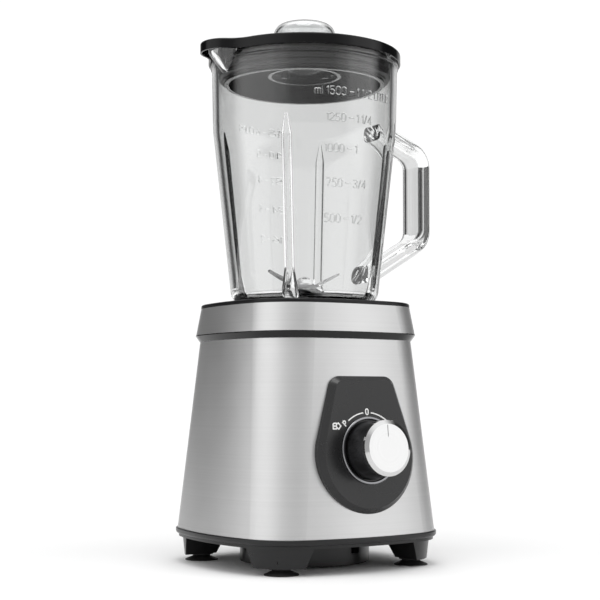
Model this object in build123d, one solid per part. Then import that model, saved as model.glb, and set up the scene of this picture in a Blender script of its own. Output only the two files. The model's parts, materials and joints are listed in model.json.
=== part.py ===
"""Countertop blender: steel-clad motor base, glass jug, lid and measuring cap.

Frame: the origin is on the drive axis, at the level that the feet stand on. +Z is up, the control
panel faces -Y, the jug's handle points to +X and its spout to -X. All sizes are in millimetres.
"""

import os
from math import asin, atan2, cos, degrees, pi, radians, sin, sqrt, tan

from build123d import *

# ---------------------------------------------------------------- fits
FACE_GAP = 0.05  # between pieces of one body that follow the same curved face
LOOSE = 0.4  # between a plug and the socket that it drops into
RUNNING = 0.03  # radial, a turning shaft in its bush

# ---------------------------------------------------------------- motor base, from the table up
FOOT_HEIGHT = 5.0
POD_HEIGHT = 13.5
RIM_HEIGHT = 6.3
STEEL_HEIGHT = 135.4
SEAM_HEIGHT = 4.9
COLLAR_HEIGHT = 19.4
DECK_LIP = 3.0

RIM_Z = FOOT_HEIGHT + POD_HEIGHT
STEEL_Z = RIM_Z + RIM_HEIGHT
SEAM_Z = STEEL_Z + STEEL_HEIGHT
COLLAR_Z = SEAM_Z + SEAM_HEIGHT
DECK_Z = COLLAR_Z + COLLAR_HEIGHT
DECK_TOP = DECK_Z + DECK_LIP

# Rounded-square plan: half widths at mid-side, with bowed sides and round corners.
CORNER_RADIUS = 38.0
SIDE_RADIUS = 200.0
STEEL_HALF_LOW = 83.0
STEEL_HALF_HIGH = 68.6
COLLAR_OVERHANG = 2.6  # the collar's lower edge stands out over the body
COLLAR_TAPER = 3.2
SHEET = 1.0  # steel sheet of the body and the collar
RIM_LEDGE = 1.2  # the bottom rim stands this far out from the steel
SEAM_REVEAL = 0.3

COLLAR_HALF_LOW = STEEL_HALF_HIGH + COLLAR_OVERHANG
COLLAR_HALF_HIGH = COLLAR_HALF_LOW - COLLAR_TAPER

# ---------------------------------------------------------------- bottom plate
PLATE_FLOOR = 3.0
RIM_STEP = 2.0  # height of the small step under the rim
RIM_STEP_IN = 2.2
RIM_ROUND = 2.2
LOCATING_WALL = 2.0
LOCATING_HEIGHT = 8.0
POD_INSET = 4.4  # pods stand in from the rim
POD_DRAFT = 1.6
POD_REACH = 42.0  # the pods reach in this far from the steel's side, at the top
POD_SLANT = 6.0
POD_WALL = 3.5
FOOT_INSET = 28.0  # foot centre to the steel's side
HUB_RADIUS = 47.0
HUB_WALL = 3.0
HUB_CLEARANCE = 2.0  # hub to table
HUB_NOTCH = 9.0
HUB_NOTCH_SPAN = 11.0  # degrees
HUB_NOTCH_AT = -73.5  # degrees, with a second one opposite
VENT_WIDTH = 3.2
VENT_PITCH = 7.0
VENT_INSET = 11.0  # vent slots to the inside of the hub

FLOOR_TOP = RIM_Z + RIM_STEP + PLATE_FLOOR
POD_START = STEEL_HALF_LOW - POD_REACH
FOOT_SPREAD = STEEL_HALF_LOW - FOOT_INSET
VENT_FIELD = HUB_RADIUS - HUB_WALL - VENT_INSET

FOOT_RADIUS = 12.0
FOOT_NECK = 6.0
FOOT_HEAD = 8.5
FOOT_STEM = 3.8
FOOT_BARB = 1.2
FOOT_BARB_HEIGHT = 3.0
FOOT_CUP = 9.0
FOOT_CUP_DEPTH = 1.6
FOOT_DISC = 1.1

BASE_SCREW_RADIUS = 1.8
BASE_SCREW_HEAD = 3.6
BASE_SCREW_LENGTH = 16.0
SCREW_HEAD_HEIGHT = 2.0

# ---------------------------------------------------------------- control panel, on the front face
PANEL_CENTRE_HEIGHT = 55.2  # round centre of the panel above the steel's lower edge
PANEL_RADIUS = 40.0
PANEL_TOP = 54.5
PANEL_TOP_HALF = 27.7
PANEL_TOP_ROUND = 9.0
PANEL_BEVEL = 3.5
PANEL_HEIGHT = 3.5  # plateau above the steel at mid-side
PANEL_SKIN = 3.0
PANEL_FRAME = 6.0  # the steel reaches this far in behind the panel
PANEL_FRAME_WALL = 2.5
PANEL_DEPTH = 12.0

PANEL_CENTRE_Z = STEEL_Z + PANEL_CENTRE_HEIGHT

KNOB_RISE = 3.0  # knob axis above the panel's round centre, along the face
KNOB_RADIUS = 20.0
KNOB_TAPER = 1.3
KNOB_GAP = 1.2
KNOB_HEIGHT = 26.0  # knob face above the steel at mid-side
KNOB_WALL = 2.5
CAP_HEIGHT = 3.6
CAP_OVERHANG = 0.3
CAP_BEVEL = 2.7
CAP_BEVEL_DROP = 1.6
INDEX_LENGTH = 8.0
INDEX_WIDTH = 0.7
INDEX_DEPTH = 0.4
BEZEL_RING_WIDTH = 2.0
BEZEL_RING_HEIGHT = 1.8

KNOB_NOSE = KNOB_RADIUS - KNOB_TAPER
CAP_RADIUS = KNOB_NOSE + CAP_OVERHANG
BEZEL_RING_IN = KNOB_RADIUS + KNOB_GAP
BEZEL_RING_OUT = BEZEL_RING_IN + BEZEL_RING_WIDTH

SPINDLE_RADIUS = 3.0
SWITCH_SIDE = 28.0
SWITCH_DEPTH = 16.0
SWITCH_BUSH = 5.0
SWITCH_TAG = (0.8, 4.8, 6.0)  # thickness, width and length of a terminal
NUT_FLATS = 13.0
NUT_HEIGHT = 2.2

# ---------------------------------------------------------------- jug
JUG_HEIGHT = 179.5  # deck top to the rim of the glass
JUG_LOW_RADIUS = 54.4  # outside, where the wall leaves the rounded bottom
JUG_KNEE_RADIUS = 67.4
JUG_RIM_RADIUS = 68.4
JUG_KNEE = 127.5  # height of the knee above the deck
KNEE_ROUND = 120.0
GLASS_WALL = 4.3
GLASS_FLOOR = 5.0
GLASS_SINK = 2.0  # underside of the glass below the deck top
HEEL_INNER = 7.0
RIM_BEAD = 0.8
RIM_BEAD_HEIGHT = 7.0
NECK_RADIUS = 41.0
NECK_WALL = 5.0
NECK_LENGTH = 11.0
LUG_COUNT = 4
LUG_SPAN = 30.0  # degrees
LUG_REACH = 4.6
LUG_HEIGHT = 3.5
LUG_DROP = 5.0  # underside of the glass to the top of the neck's lugs
LUG_PLAY = 0.3
RIB_FOOT = 6.5  # radius of a rib where it meets the floor
RIB_RADIUS = 3.4
RIB_TIP = 1.0
RIB_FLARE = 20.0  # length over which the foot narrows to the rib
RIB_POINT = 14.0  # length of the pointed end
RIB_OVER_KNEE = 2.0
SPOUT_OVERHANG = 12.6  # the lip's reach beyond the rim
SPOUT_RADIUS = 17.0
SPOUT_ROOT = 5.0
SPOUT_DEPTH = 19.0
SPOUT_WALL = 3.6

HEEL_RADIUS = min(12.5, JUG_LOW_RADIUS - NECK_RADIUS - 0.9)
NECK_BORE = NECK_RADIUS - NECK_WALL
GLASS_Z = DECK_TOP - GLASS_SINK
RIM_TOP = DECK_TOP + JUG_HEIGHT
KNEE_Z = DECK_TOP + JUG_KNEE
NECK_Z = GLASS_Z - NECK_LENGTH
INNER_FLOOR = GLASS_Z + GLASS_FLOOR
SPOUT_REACH = JUG_RIM_RADIUS + SPOUT_OVERHANG

GRIP_REACH = 35.8  # middle of the grip beyond the rim
GRIP_WIDTH = 25.0
GRIP_THICK = 11.5
GRIP_ROUND = 4.6
GRIP_TOP = 118.7  # above the deck, where the upper arm turns down
GRIP_LOW = 52.5
ARM_TOP = 139.2  # height of the arms' roots, inside the wall
ARM_LOW = 22.7
GRIP_BEND = 15.0

GRIP_X = JUG_RIM_RADIUS + GRIP_REACH

# ---------------------------------------------------------------- blade unit
GASKET_HEIGHT = 1.5
FLANGE_HEIGHT = 3.0
CARRIER_HUB = 13.0
CARRIER_HUB_TOP = 9.5
CARRIER_HUB_HEIGHT = 9.0
CARRIER_BOSS = 22.0
CARRIER_SINK = 1.5  # top of the carrier below the glass floor
CAVITY_RADIUS = 17.0
CAVITY_PLAY = 1.5
KEY_RING_INSET = 5.0  # outside of the key ring to the bore of the neck
KEY_RING_WALL = 4.0
KEY_REACH = 2.4
KEY_SPAN = 16.0  # degrees
KEY_COUNT = 4
RING_PLAY = 0.8
RING_WALL = 3.6
RING_FLUTES = 16
FLUTE_RADIUS = 1.6
BLADE_SHAFT = 3.0
JUG_BUSH_RADIUS = 5.0
LIP_SEAL_HEIGHT = 2.5
BLADE_THICK = 1.5
BLADE_WIDTH = 13.0
BLADE_REACH = 29.0
BLADE_BEND = 8.0  # where the arm turns up or down
BLADE_RISE = 25.5  # degrees
BLADE_FALL = 19.0  # degrees
BLADE_TURN = (-12.0, 68.0)  # degrees about the shaft, upper and lower
WASHER_RADIUS = 7.0
WASHER_HEIGHT = 1.0
WASHER_LIFT = 0.3  # over the carrier, so that it turns free
BLADE_NUT_FLATS = 10.0
BLADE_NUT_HEIGHT = 5.5
NUT_CROWN = 1.5

GASKET_Z = NECK_Z - GASKET_HEIGHT
FLANGE_Z = GASKET_Z - FLANGE_HEIGHT
CARRIER_TOP = INNER_FLOOR - CARRIER_SINK
HUB_TOP = CARRIER_TOP + CARRIER_HUB_HEIGHT
BLADES_Z = HUB_TOP + WASHER_HEIGHT
KEY_RING_OUT = NECK_BORE - KEY_RING_INSET
KEY_RING_IN = KEY_RING_OUT - KEY_RING_WALL
RING_OUT = NECK_RADIUS + LUG_REACH + RING_PLAY + RING_WALL

# ---------------------------------------------------------------- top deck and the jug's seat
DECK_ROUND = 1.6
SEAT_PLAY = 2.5
SEAT_FLARE = 6.5
SEAT_FLARE_DEPTH = 5.0
SEAT_DEPTH = 21.5  # deck top to the floor of the seat
SEAT_FLOOR = 3.0
SEAT_WALL = 3.0
POCKET_DEPTH = 5.0
DECK_SKIRT_INSET = 2.8
DECK_SKIRT_WALL = 2.0
SPIGOT_DEPTH = 8.0
SPIGOT_WALL = 2.0
SEAL_RADIUS = 9.0
SEAL_FLANGE = 1.2

SEAT_RADIUS = RING_OUT + SEAT_PLAY
SEAT_MOUTH = SEAT_RADIUS + SEAT_FLARE
SEAT_Z = DECK_TOP - SEAT_DEPTH
POCKET_Z = SEAT_Z - POCKET_DEPTH
POCKET_RADIUS = KEY_RING_OUT + KEY_REACH + LOOSE
BOWL_Z = POCKET_Z - SEAT_FLOOR  # underside of the deck's bowl
DECK_SKIRT_HALF = COLLAR_HALF_HIGH - DECK_SKIRT_INSET
RING_WEB = FLANGE_Z - SEAT_Z  # the carrier's flange rests on the ring, the ring on the deck

# ---------------------------------------------------------------- chassis columns, outside the bowl
COLUMN_RADIUS = 6.0
COLUMN_GAP = 0.6
COLUMN_ANGLE = 57.0  # degrees from the X axis
SHELF_THICK = 3.5
SHELF_MARGIN = 2.0
SHELF_HOLE = 17.0
SHELF_DROP = 19.0  # shelf top below the deck's bowl

COLUMN_CIRCLE = SEAT_RADIUS + SEAT_WALL + COLUMN_GAP + COLUMN_RADIUS
COLUMN_X = COLUMN_CIRCLE * cos(radians(COLUMN_ANGLE))
COLUMN_Y = COLUMN_CIRCLE * sin(radians(COLUMN_ANGLE))
SHELF_Z = BOWL_Z - SHELF_DROP - SHELF_THICK

# ---------------------------------------------------------------- motor, hung under the shelf
SHAFT_RADIUS = 4.0
SHAFT_TAIL = 2.0
FAN_HEIGHT = 11.0
FAN_RADIUS = 36.0
FAN_HUB = 7.5
FAN_BLADES = 11
FAN_PLATE = 1.6
FAN_VANE = 1.6
FAN_GAP = 3.0
SHROUD_GAP = 2.0
SHROUD_WALL = 1.6
BRACKET_PLATE = 5.0
BRACKET_WIDTH = 26.0
COMMUTATOR_GAP = 12.0  # lower bracket's underside to the commutator
COMMUTATOR_HEIGHT = 12.4
COMMUTATOR_RADIUS = 11.0
COMMUTATOR_BARS = 24
COMMUTATOR_DROP = 21.0  # commutator's foot below the core
CORE_HEIGHT = 35.0
CORE_X = 62.0
CORE_Y = 72.0
CORE_ROUND = 8.0
ROTOR_RADIUS = 20.0
ROTOR_SLOTS = 12
ROTOR_SLOT = (8.0, 2.2)  # depth and width
AIR_GAP = 0.6
COIL_THICK = 7.4
COIL_SPREAD = 50.0  # degrees each side of the X axis
COIL_OVERHANG = 8.0
COIL_GAP = 0.5
COIL_ROUND = 2.0
WINDING_HEIGHT = 6.4
WINDING_INSET = 2.0
UPPER_BRACKET_GAP = 3.0  # coils to the upper bracket
UPPER_BRACKET_X = 60.0
LEG_THICK = 5.0
BOLT_RADIUS = 1.9
BOLT_HEAD = 2.5
BUSH_RADIUS = 8.0
BUSH_HEIGHT = 6.0
BUSH_SEAT = 3.0
BRUSH_GAP = 0.2
BRUSH_LENGTH = 13.0
BRUSH_X = 6.0
BRUSH_Z = 5.0
BRUSH_BOX_WALL = 1.2
BRUSH_PLAY = 0.1
BRUSH_SHOW = 2.5  # bare brush between its box and the commutator
SPRING_WIRE = 0.25
SPRING_RADIUS = 1.6
SPRING_TURNS = 4
SPRING_SEAT = 0.05
MOUNT_RADIUS = 5.0
MOUNT_HEIGHT = 4.0
MOUNT_X = 24.0
MOUNT_Y = 30.0
MOUNT_SCREW_RADIUS = 1.6
MOUNT_SCREW_HEAD = 3.2
CAPACITOR_SIZE = (26.0, 10.0, 20.0)
CAPACITOR_PIN = 0.5
CAPACITOR_PINS_APART = 15.0

LEG_OUT = CORE_Y / 2
BOLT_Y = LEG_OUT - LEG_THICK / 2
UPPER_BRACKET_Z = SHELF_Z - MOUNT_HEIGHT - BRACKET_PLATE
CORE_Z = UPPER_BRACKET_Z - UPPER_BRACKET_GAP - COIL_OVERHANG - CORE_HEIGHT
COMMUTATOR_Z = CORE_Z - COMMUTATOR_DROP
LOWER_BRACKET_Z = COMMUTATOR_Z - COMMUTATOR_GAP
BRUSH_MIDDLE = COMMUTATOR_Z + COMMUTATOR_HEIGHT / 2
FAN_Z = LOWER_BRACKET_Z - FAN_GAP - FAN_HEIGHT
SHAFT_Z = FAN_Z - SHAFT_TAIL

# ---------------------------------------------------------------- drive coupling
DOG_COUNT = 6
DOG_INNER = 7.5
DOG_OUTER = 14.0
DOG_SPAN = 27.0  # degrees of each dog
DOG_HEIGHT = 5.0
COUPLING_DISC = 3.6
COUPLING_SKIN = 0.6  # closed top over the motor shaft
COUPLING_LIFT = 1.0  # above the pocket floor
COUPLING_PLAY = 0.5  # dog tip to the other half's disc

DRIVE_Z = POCKET_Z + COUPLING_LIFT
DRIVEN_Z = DRIVE_Z + COUPLING_DISC + COUPLING_PLAY + DOG_HEIGHT
CAVITY_TOP = DRIVEN_Z + COUPLING_DISC + CAVITY_PLAY

# ---------------------------------------------------------------- lid and measuring cap
LID_PLATE = 4.5
LID_SKIRT = 2.8  # the skirt hangs this far over the rim
LID_SKIRT_WALL = 1.2
LID_ROUND = 1.5
LOBE_MARGIN = 1.0
LOBE_OVERHANG = 4.5  # the tongue's tip beyond the spout
LOBE_BLEND = 24.0
PLUG_WALL = 3.0
PLUG_DEPTH = 18.5
SEAL_BASE = 1.4
SEAL_START = 1.5  # seal above the plug's lower edge
SEAL_END = 0.5
SEAL_LIPS = 3
SEAL_LIP_REACH = 3.0
SEAL_LIP_HEIGHT = 1.4
SEAL_LIP_PITCH = 4.2
SEAL_LIP_PLAY = 0.7  # to the bore of the glass at the rim
FILLER_RADIUS = 24.3
FILLER_WALL = 2.7
FILLER_DEPTH = 11.0
FILLER_RAISE = 2.5

CUP_TAPER = 1.5
CUP_WALL = 2.2
CUP_HEIGHT = 21.0  # flange to the top of the dome
CUP_ROUND = 8.0
CUP_SKIRT = 15.0
CUP_PLAY = 0.6
CUP_FLANGE_THICK = 2.0

LID_RADIUS = JUG_RIM_RADIUS + RIM_BEAD + LOOSE + LID_SKIRT_WALL
LOBE_RADIUS = SPOUT_RADIUS + LOBE_MARGIN
LOBE_REACH = SPOUT_REACH + LOBE_OVERHANG
SEAL_LIP_RADIUS = JUG_RIM_RADIUS - GLASS_WALL - SEAL_LIP_PLAY
PLUG_RADIUS = SEAL_LIP_RADIUS - SEAL_LIP_REACH - SEAL_BASE
LID_Z = RIM_TOP
LID_TOP = LID_Z + LID_PLATE
FILLER_TOP = LID_TOP + FILLER_RAISE
CUP_RADIUS = FILLER_RADIUS - CUP_PLAY
CUP_TOP_RADIUS = CUP_RADIUS - CUP_TAPER
CUP_FLANGE = FILLER_RADIUS + FILLER_WALL + CUP_PLAY

# ---------------------------------------------------------------- cord inlet, at the rear
GLAND_HEIGHT = 19.2  # above the steel's lower edge
GLAND_RADIUS = 5.4
GLAND_BORE = 3.6
GLAND_FLANGE = 8.5
GLAND_FLANGE_THICK = 2.5

GLAND_Z = STEEL_Z + GLAND_HEIGHT


# ================================================================ shared shapes
def steel_half(z):
    """Half width of the steel body at mid-side, at height z."""
    share = (z - STEEL_Z) / STEEL_HEIGHT
    return STEEL_HALF_LOW + (STEEL_HALF_HIGH - STEEL_HALF_LOW) * share


FACE_TILT = atan2(STEEL_HALF_LOW - STEEL_HALF_HIGH, STEEL_HEIGHT)


def plan(half, z, inset=0.0):
    """The rounded-square plan with bowed sides, as a face at height z."""
    a = half - inset
    r = CORNER_RADIUS - inset
    side = SIDE_RADIUS - inset
    turn = pi / 4 + asin((a - side) / ((side - r) * sqrt(2)))
    corner = (side - r) * sin(turn)
    edges = []
    for quarter in range(4):
        spin = quarter * 90
        bow = CenterArc((0, a - side), side, 90 - degrees(turn), 2 * degrees(turn))
        bend = CenterArc((corner, corner), r, degrees(turn), 90 - 2 * degrees(turn))
        edges += [bow.rotate(Axis.Z, spin), bend.rotate(Axis.Z, spin)]
    face = make_face(edges)
    return face.moved(Location((0, 0, z)))


def tapered(low_half, low_z, high_half, high_z, inset=0.0):
    """A solid between two plans at different heights."""
    return loft([plan(low_half, low_z, inset), plan(high_half, high_z, inset)], ruled=True)


def prism(half, z, height, inset=0.0):
    return extrude(plan(half, z, inset), height)


def tube(outer, inner, z, height):
    """A round tube about the drive axis, standing on z."""
    ring = Circle(outer) - Circle(inner) if inner else Circle(outer)
    return extrude(Plane.XY.offset(z) * ring, height)


def turned(*points):
    """A solid of revolution about the drive axis, from its (radius, height) outline."""
    return revolve(make_face(Plane.XZ * Polyline(*points, close=True)), Axis.Z)


def sector(outer, inner, z, height, middle, span):
    """Part of a tube, span degrees wide, centred on the angle middle."""
    start = middle - span / 2
    bounds = [
        CenterArc((0, 0), outer, start, span),
        CenterArc((0, 0), inner, start, span),
    ]
    ends = [Line(bounds[0] @ k, bounds[1] @ k) for k in (0, 1)]
    return extrude(Plane.XY.offset(z) * make_face(bounds + ends), height)


def box_between(low, high):
    """A box from its lowest corner to its highest."""
    size = [h - l for l, h in zip(low, high)]
    return Pos(*[(h + l) / 2 for l, h in zip(low, high)]) * Box(*size)


def around(shape, count, start=0.0):
    return [shape.rotate(Axis.Z, start + 360 / count * k) for k in range(count)]


def corners(x, y):
    return [(sx * x, sy * y) for sx in (-1, 1) for sy in (-1, 1)]


# ================================================================ bottom plate and feet
def pods():
    """The four corner housings that carry the feet, narrower at the foot than at the rim."""
    rim_half = STEEL_HALF_LOW + RIM_LEDGE
    body = tapered(
        rim_half - POD_INSET - POD_DRAFT, FOOT_HEIGHT, rim_half - POD_INSET, RIM_Z + RIM_STEP
    )
    blocks = []
    for x, y in corners(1, 1):
        ends = []
        for z, start in ((FOOT_HEIGHT, POD_START + POD_SLANT), (RIM_Z + RIM_STEP, POD_START)):
            side = rim_half + POD_SLANT - start
            middle = start + side / 2
            ends.append(Plane.XY.offset(z) * Pos(x * middle, y * middle) * Rectangle(side, side))
        blocks.append(loft(ends, ruled=True))
    return body & (Part() + blocks)


def bottom_plate():
    rim_half = STEEL_HALF_LOW + RIM_LEDGE
    rim = prism(rim_half, RIM_Z + RIM_STEP, RIM_HEIGHT - RIM_STEP)
    rim = fillet(rim.faces().sort_by(Axis.Z)[0].edges(), RIM_ROUND)
    rim = fillet(rim.faces().sort_by(Axis.Z)[-1].edges(), RIM_LEDGE * 0.6)
    wall_in = LOCATING_WALL + SHEET + LOOSE
    rim -= prism(STEEL_HALF_LOW, FLOOR_TOP, RIM_HEIGHT, wall_in)
    rim += prism(rim_half, RIM_Z, RIM_STEP, RIM_STEP_IN)
    wall_top = STEEL_Z + LOCATING_HEIGHT
    wall = tapered(STEEL_HALF_LOW, STEEL_Z, steel_half(wall_top), wall_top, SHEET + LOOSE)
    wall -= tapered(STEEL_HALF_LOW, STEEL_Z, steel_half(wall_top), wall_top, wall_in)
    plate = rim + wall + pods()

    hub = tube(HUB_RADIUS, HUB_RADIUS - HUB_WALL, HUB_CLEARANCE, RIM_Z - HUB_CLEARANCE)
    notch = sector(
        HUB_RADIUS + 1, HUB_RADIUS - HUB_WALL - 1, RIM_Z - HUB_NOTCH, HUB_NOTCH, 0, HUB_NOTCH_SPAN
    )
    for piece in around(notch, 2, HUB_NOTCH_AT):
        hub -= piece
    plate += hub

    for x, y in corners(FOOT_SPREAD, FOOT_SPREAD):
        pocket_top = FLOOR_TOP + 1
        pocket_side = 2 * FOOT_HEAD
        plate -= box_between(
            (x - pocket_side / 2, y - pocket_side / 2, FOOT_HEIGHT + POD_WALL),
            (x + pocket_side / 2, y + pocket_side / 2, pocket_top),
        )
        plate -= Pos(x, y, FOOT_HEIGHT) * Cylinder(FOOT_STEM + FACE_GAP, 3 * POD_WALL)
    for x, y in corners(COLUMN_X, COLUMN_Y):
        plate -= Pos(x, y, FLOOR_TOP) * Cylinder(BASE_SCREW_RADIUS + LOOSE, 4 * PLATE_FLOOR)
        plate -= Pos(x, y, RIM_Z) * Cylinder(BASE_SCREW_HEAD + LOOSE, 2 * SCREW_HEAD_HEIGHT)
    rows = int(VENT_FIELD // VENT_PITCH)
    for row in range(-rows, rows + 1):
        y = row * VENT_PITCH
        reach = sqrt(VENT_FIELD**2 - y**2)
        plate -= box_between(
            (-reach, y - VENT_WIDTH / 2, RIM_Z - 1), (reach, y + VENT_WIDTH / 2, FLOOR_TOP + 1)
        )
    return plate


def foot(x, y):
    """A suction foot: a flared cup under a neck, its head against the pod and its stem through it."""
    neck_low = FOOT_CUP_DEPTH + FOOT_DISC
    barb_z = FOOT_HEIGHT + POD_WALL
    shape = turned(
        (0, FOOT_CUP_DEPTH),
        (FOOT_CUP, 0),
        (FOOT_RADIUS, 0),
        (FOOT_RADIUS, FOOT_DISC * 0.6),
        (FOOT_NECK + 1, neck_low),
        (FOOT_NECK, FOOT_HEIGHT - FOOT_DISC - 0.5),
        (FOOT_HEAD, FOOT_HEIGHT - 0.8),
        (FOOT_HEAD, FOOT_HEIGHT),
        (FOOT_STEM, FOOT_HEIGHT),
        (FOOT_STEM, barb_z),
        (FOOT_STEM + FOOT_BARB, barb_z),
        (FOOT_STEM - 1, barb_z + FOOT_BARB_HEIGHT),
        (0, barb_z + FOOT_BARB_HEIGHT),
    )
    return Pos(x, y, 0) * shape


def base_screws():
    head_z = RIM_Z + SCREW_HEAD_HEIGHT
    screws = []
    for x, y in corners(COLUMN_X, COLUMN_Y):
        head = tube(BASE_SCREW_HEAD, 0, head_z - SCREW_HEAD_HEIGHT, SCREW_HEAD_HEIGHT)
        screw = head + tube(BASE_SCREW_RADIUS, 0, head_z, BASE_SCREW_LENGTH)
        screws.append(Pos(x, y, 0) * screw)
    return Compound(screws)


# ================================================================ steel skins, seam and deck
def front_plane(z):
    """On the front face at height z: its normal points out of the steel, its Y up the face."""
    return Plane(
        origin=(0, -steel_half(z), z), x_dir=(1, 0, 0), z_dir=(0, -cos(FACE_TILT), sin(FACE_TILT))
    )


def rear_plane(z):
    return Plane(
        origin=(0, steel_half(z), z), x_dir=(-1, 0, 0), z_dir=(0, cos(FACE_TILT), sin(FACE_TILT))
    )


def panel_outline(inset=0.0):
    """A round lower part and a narrower, blunt top, joined by straight sides."""
    corner_x = PANEL_TOP_HALF - PANEL_TOP_ROUND
    corner_y = PANEL_TOP - PANEL_TOP_ROUND
    discs = [Pos(0, 0) * Circle(PANEL_RADIUS - inset)]
    for side in (-1, 1):
        discs.append(Pos(side * corner_x, corner_y) * Circle(PANEL_TOP_ROUND - inset))
    edges = [edge for disc in discs for edge in disc.edges()]
    return make_hull(edges)


def panel_slab(inset, low, high):
    """The panel's outline as a slab, between two heights over the front face."""
    plane = front_plane(PANEL_CENTRE_Z)
    return extrude(plane.offset(low) * panel_outline(inset), high - low)


def knob_plane(height):
    """Across the knob's axis, height above the steel at mid-side."""
    plane = front_plane(PANEL_CENTRE_Z)
    return Plane(
        origin=plane.origin + plane.y_dir * KNOB_RISE + plane.z_dir * height,
        x_dir=plane.x_dir,
        z_dir=plane.z_dir,
    )


def on_knob_axis(outer, inner, low, high):
    """A round piece about the knob's axis."""
    ring = Circle(outer) - Circle(inner) if inner else Circle(outer)
    return extrude(knob_plane(low) * ring, high - low)


def steel_block(inset=0.0, grow=0.0):
    return tapered(
        STEEL_HALF_LOW + grow, STEEL_Z, STEEL_HALF_HIGH + grow, SEAM_Z, inset
    )


def steel_body():
    skin = steel_block() - steel_block(inset=SHEET)
    skin -= panel_slab(PANEL_FRAME, -4 * SHEET - PANEL_DEPTH, PANEL_HEIGHT)
    hole = extrude(rear_plane(GLAND_Z).offset(-10) * Circle(GLAND_RADIUS + FACE_GAP), 20)
    return skin - hole


def steel_collar():
    outer = tapered(COLLAR_HALF_LOW, COLLAR_Z, COLLAR_HALF_HIGH, DECK_Z)
    return outer - tapered(COLLAR_HALF_LOW, COLLAR_Z, COLLAR_HALF_HIGH, DECK_Z, SHEET)


def seam_trim():
    """The dark band between body and collar: it overhangs the body and locates both skins."""
    edge = 0.6
    trim = tapered(
        STEEL_HALF_HIGH + SEAM_REVEAL, SEAM_Z, COLLAR_HALF_LOW + SEAM_REVEAL, COLLAR_Z - edge
    )
    trim += prism(COLLAR_HALF_LOW + SEAM_REVEAL, COLLAR_Z - edge, edge)
    low = SEAM_Z - SPIGOT_DEPTH
    spigot_in = SHEET + LOOSE
    trim += tapered(steel_half(low), low, STEEL_HALF_HIGH, SEAM_Z, spigot_in)
    hole_in = spigot_in + SPIGOT_WALL
    trim -= tapered(steel_half(low), low, STEEL_HALF_HIGH, SEAM_Z, hole_in)
    trim -= prism(STEEL_HALF_HIGH, SEAM_Z, SEAM_HEIGHT, hole_in)
    return trim


def top_deck():
    lip = prism(COLLAR_HALF_HIGH, DECK_Z, DECK_LIP)
    lip = fillet(lip.faces().sort_by(Axis.Z)[-1].edges(), DECK_ROUND)
    skirt = prism(DECK_SKIRT_HALF, COLLAR_Z, COLLAR_HEIGHT)
    skirt -= prism(DECK_SKIRT_HALF, COLLAR_Z, COLLAR_HEIGHT, DECK_SKIRT_WALL)
    bowl = tube(SEAT_RADIUS + SEAT_WALL, 0, SEAT_Z - SEAT_FLOOR, DECK_Z - SEAT_Z + SEAT_FLOOR)
    bowl += tube(POCKET_RADIUS + SEAT_WALL, 0, BOWL_Z, SEAT_Z - BOWL_Z)
    boss = tube(COLUMN_RADIUS, 0, COLLAR_Z, COLLAR_HEIGHT)
    bosses = [Pos(x, y, 0) * boss for x, y in corners(COLUMN_X, COLUMN_Y)]
    deck = lip + skirt + bowl + bosses
    deck -= turned(
        (0, SEAT_Z),
        (SEAT_RADIUS, SEAT_Z),
        (SEAT_RADIUS, DECK_TOP - SEAT_FLARE_DEPTH),
        (SEAT_MOUTH - 1.5, DECK_TOP - 1.2),
        (SEAT_MOUTH, DECK_TOP),
        (SEAT_MOUTH, DECK_TOP + 1),
        (0, DECK_TOP + 1),
    )
    deck -= tube(KEY_RING_OUT + LOOSE, 0, POCKET_Z, POCKET_DEPTH)
    key_slot = sector(POCKET_RADIUS, KEY_RING_OUT - 1, POCKET_Z, POCKET_DEPTH, 0, KEY_SPAN + 2)
    for slot in around(key_slot, KEY_COUNT):
        deck -= slot
    deck -= tube(SEAL_RADIUS, 0, BOWL_Z - 1, SEAT_FLOOR + 2)
    return deck


def splash_seal():
    """Rubber ring that closes the deck around the motor shaft."""
    ring = tube(SEAL_RADIUS, SHAFT_RADIUS + RUNNING, BOWL_Z, SEAT_FLOOR)
    return ring + tube(SEAL_RADIUS + 2, SHAFT_RADIUS + 1, BOWL_Z - SEAL_FLANGE, SEAL_FLANGE)


def motor_chassis():
    """Four columns between plate and deck, with a shelf that the motor hangs from."""
    half_x = COLUMN_X + COLUMN_RADIUS + SHELF_MARGIN
    half_y = COLUMN_Y + COLUMN_RADIUS
    shelf_face = RectangleRounded(2 * half_x, 2 * half_y, COLUMN_RADIUS) - Circle(SHELF_HOLE)
    frame = extrude(Plane.XY.offset(SHELF_Z) * shelf_face, SHELF_THICK)
    column = tube(COLUMN_RADIUS, 0, FLOOR_TOP, COLLAR_Z - FLOOR_TOP)
    for x, y in corners(COLUMN_X, COLUMN_Y):
        frame += Pos(x, y, 0) * column
        screw_hole = tube(BASE_SCREW_RADIUS, 0, FLOOR_TOP, BASE_SCREW_LENGTH + 2)
        frame -= Pos(x, y, 0) * screw_hole
    for x, y in corners(MOUNT_X, MOUNT_Y):
        frame -= Pos(x, y, SHELF_Z) * Cylinder(MOUNT_SCREW_RADIUS + LOOSE / 2, 4 * SHELF_THICK)
    return frame


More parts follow.
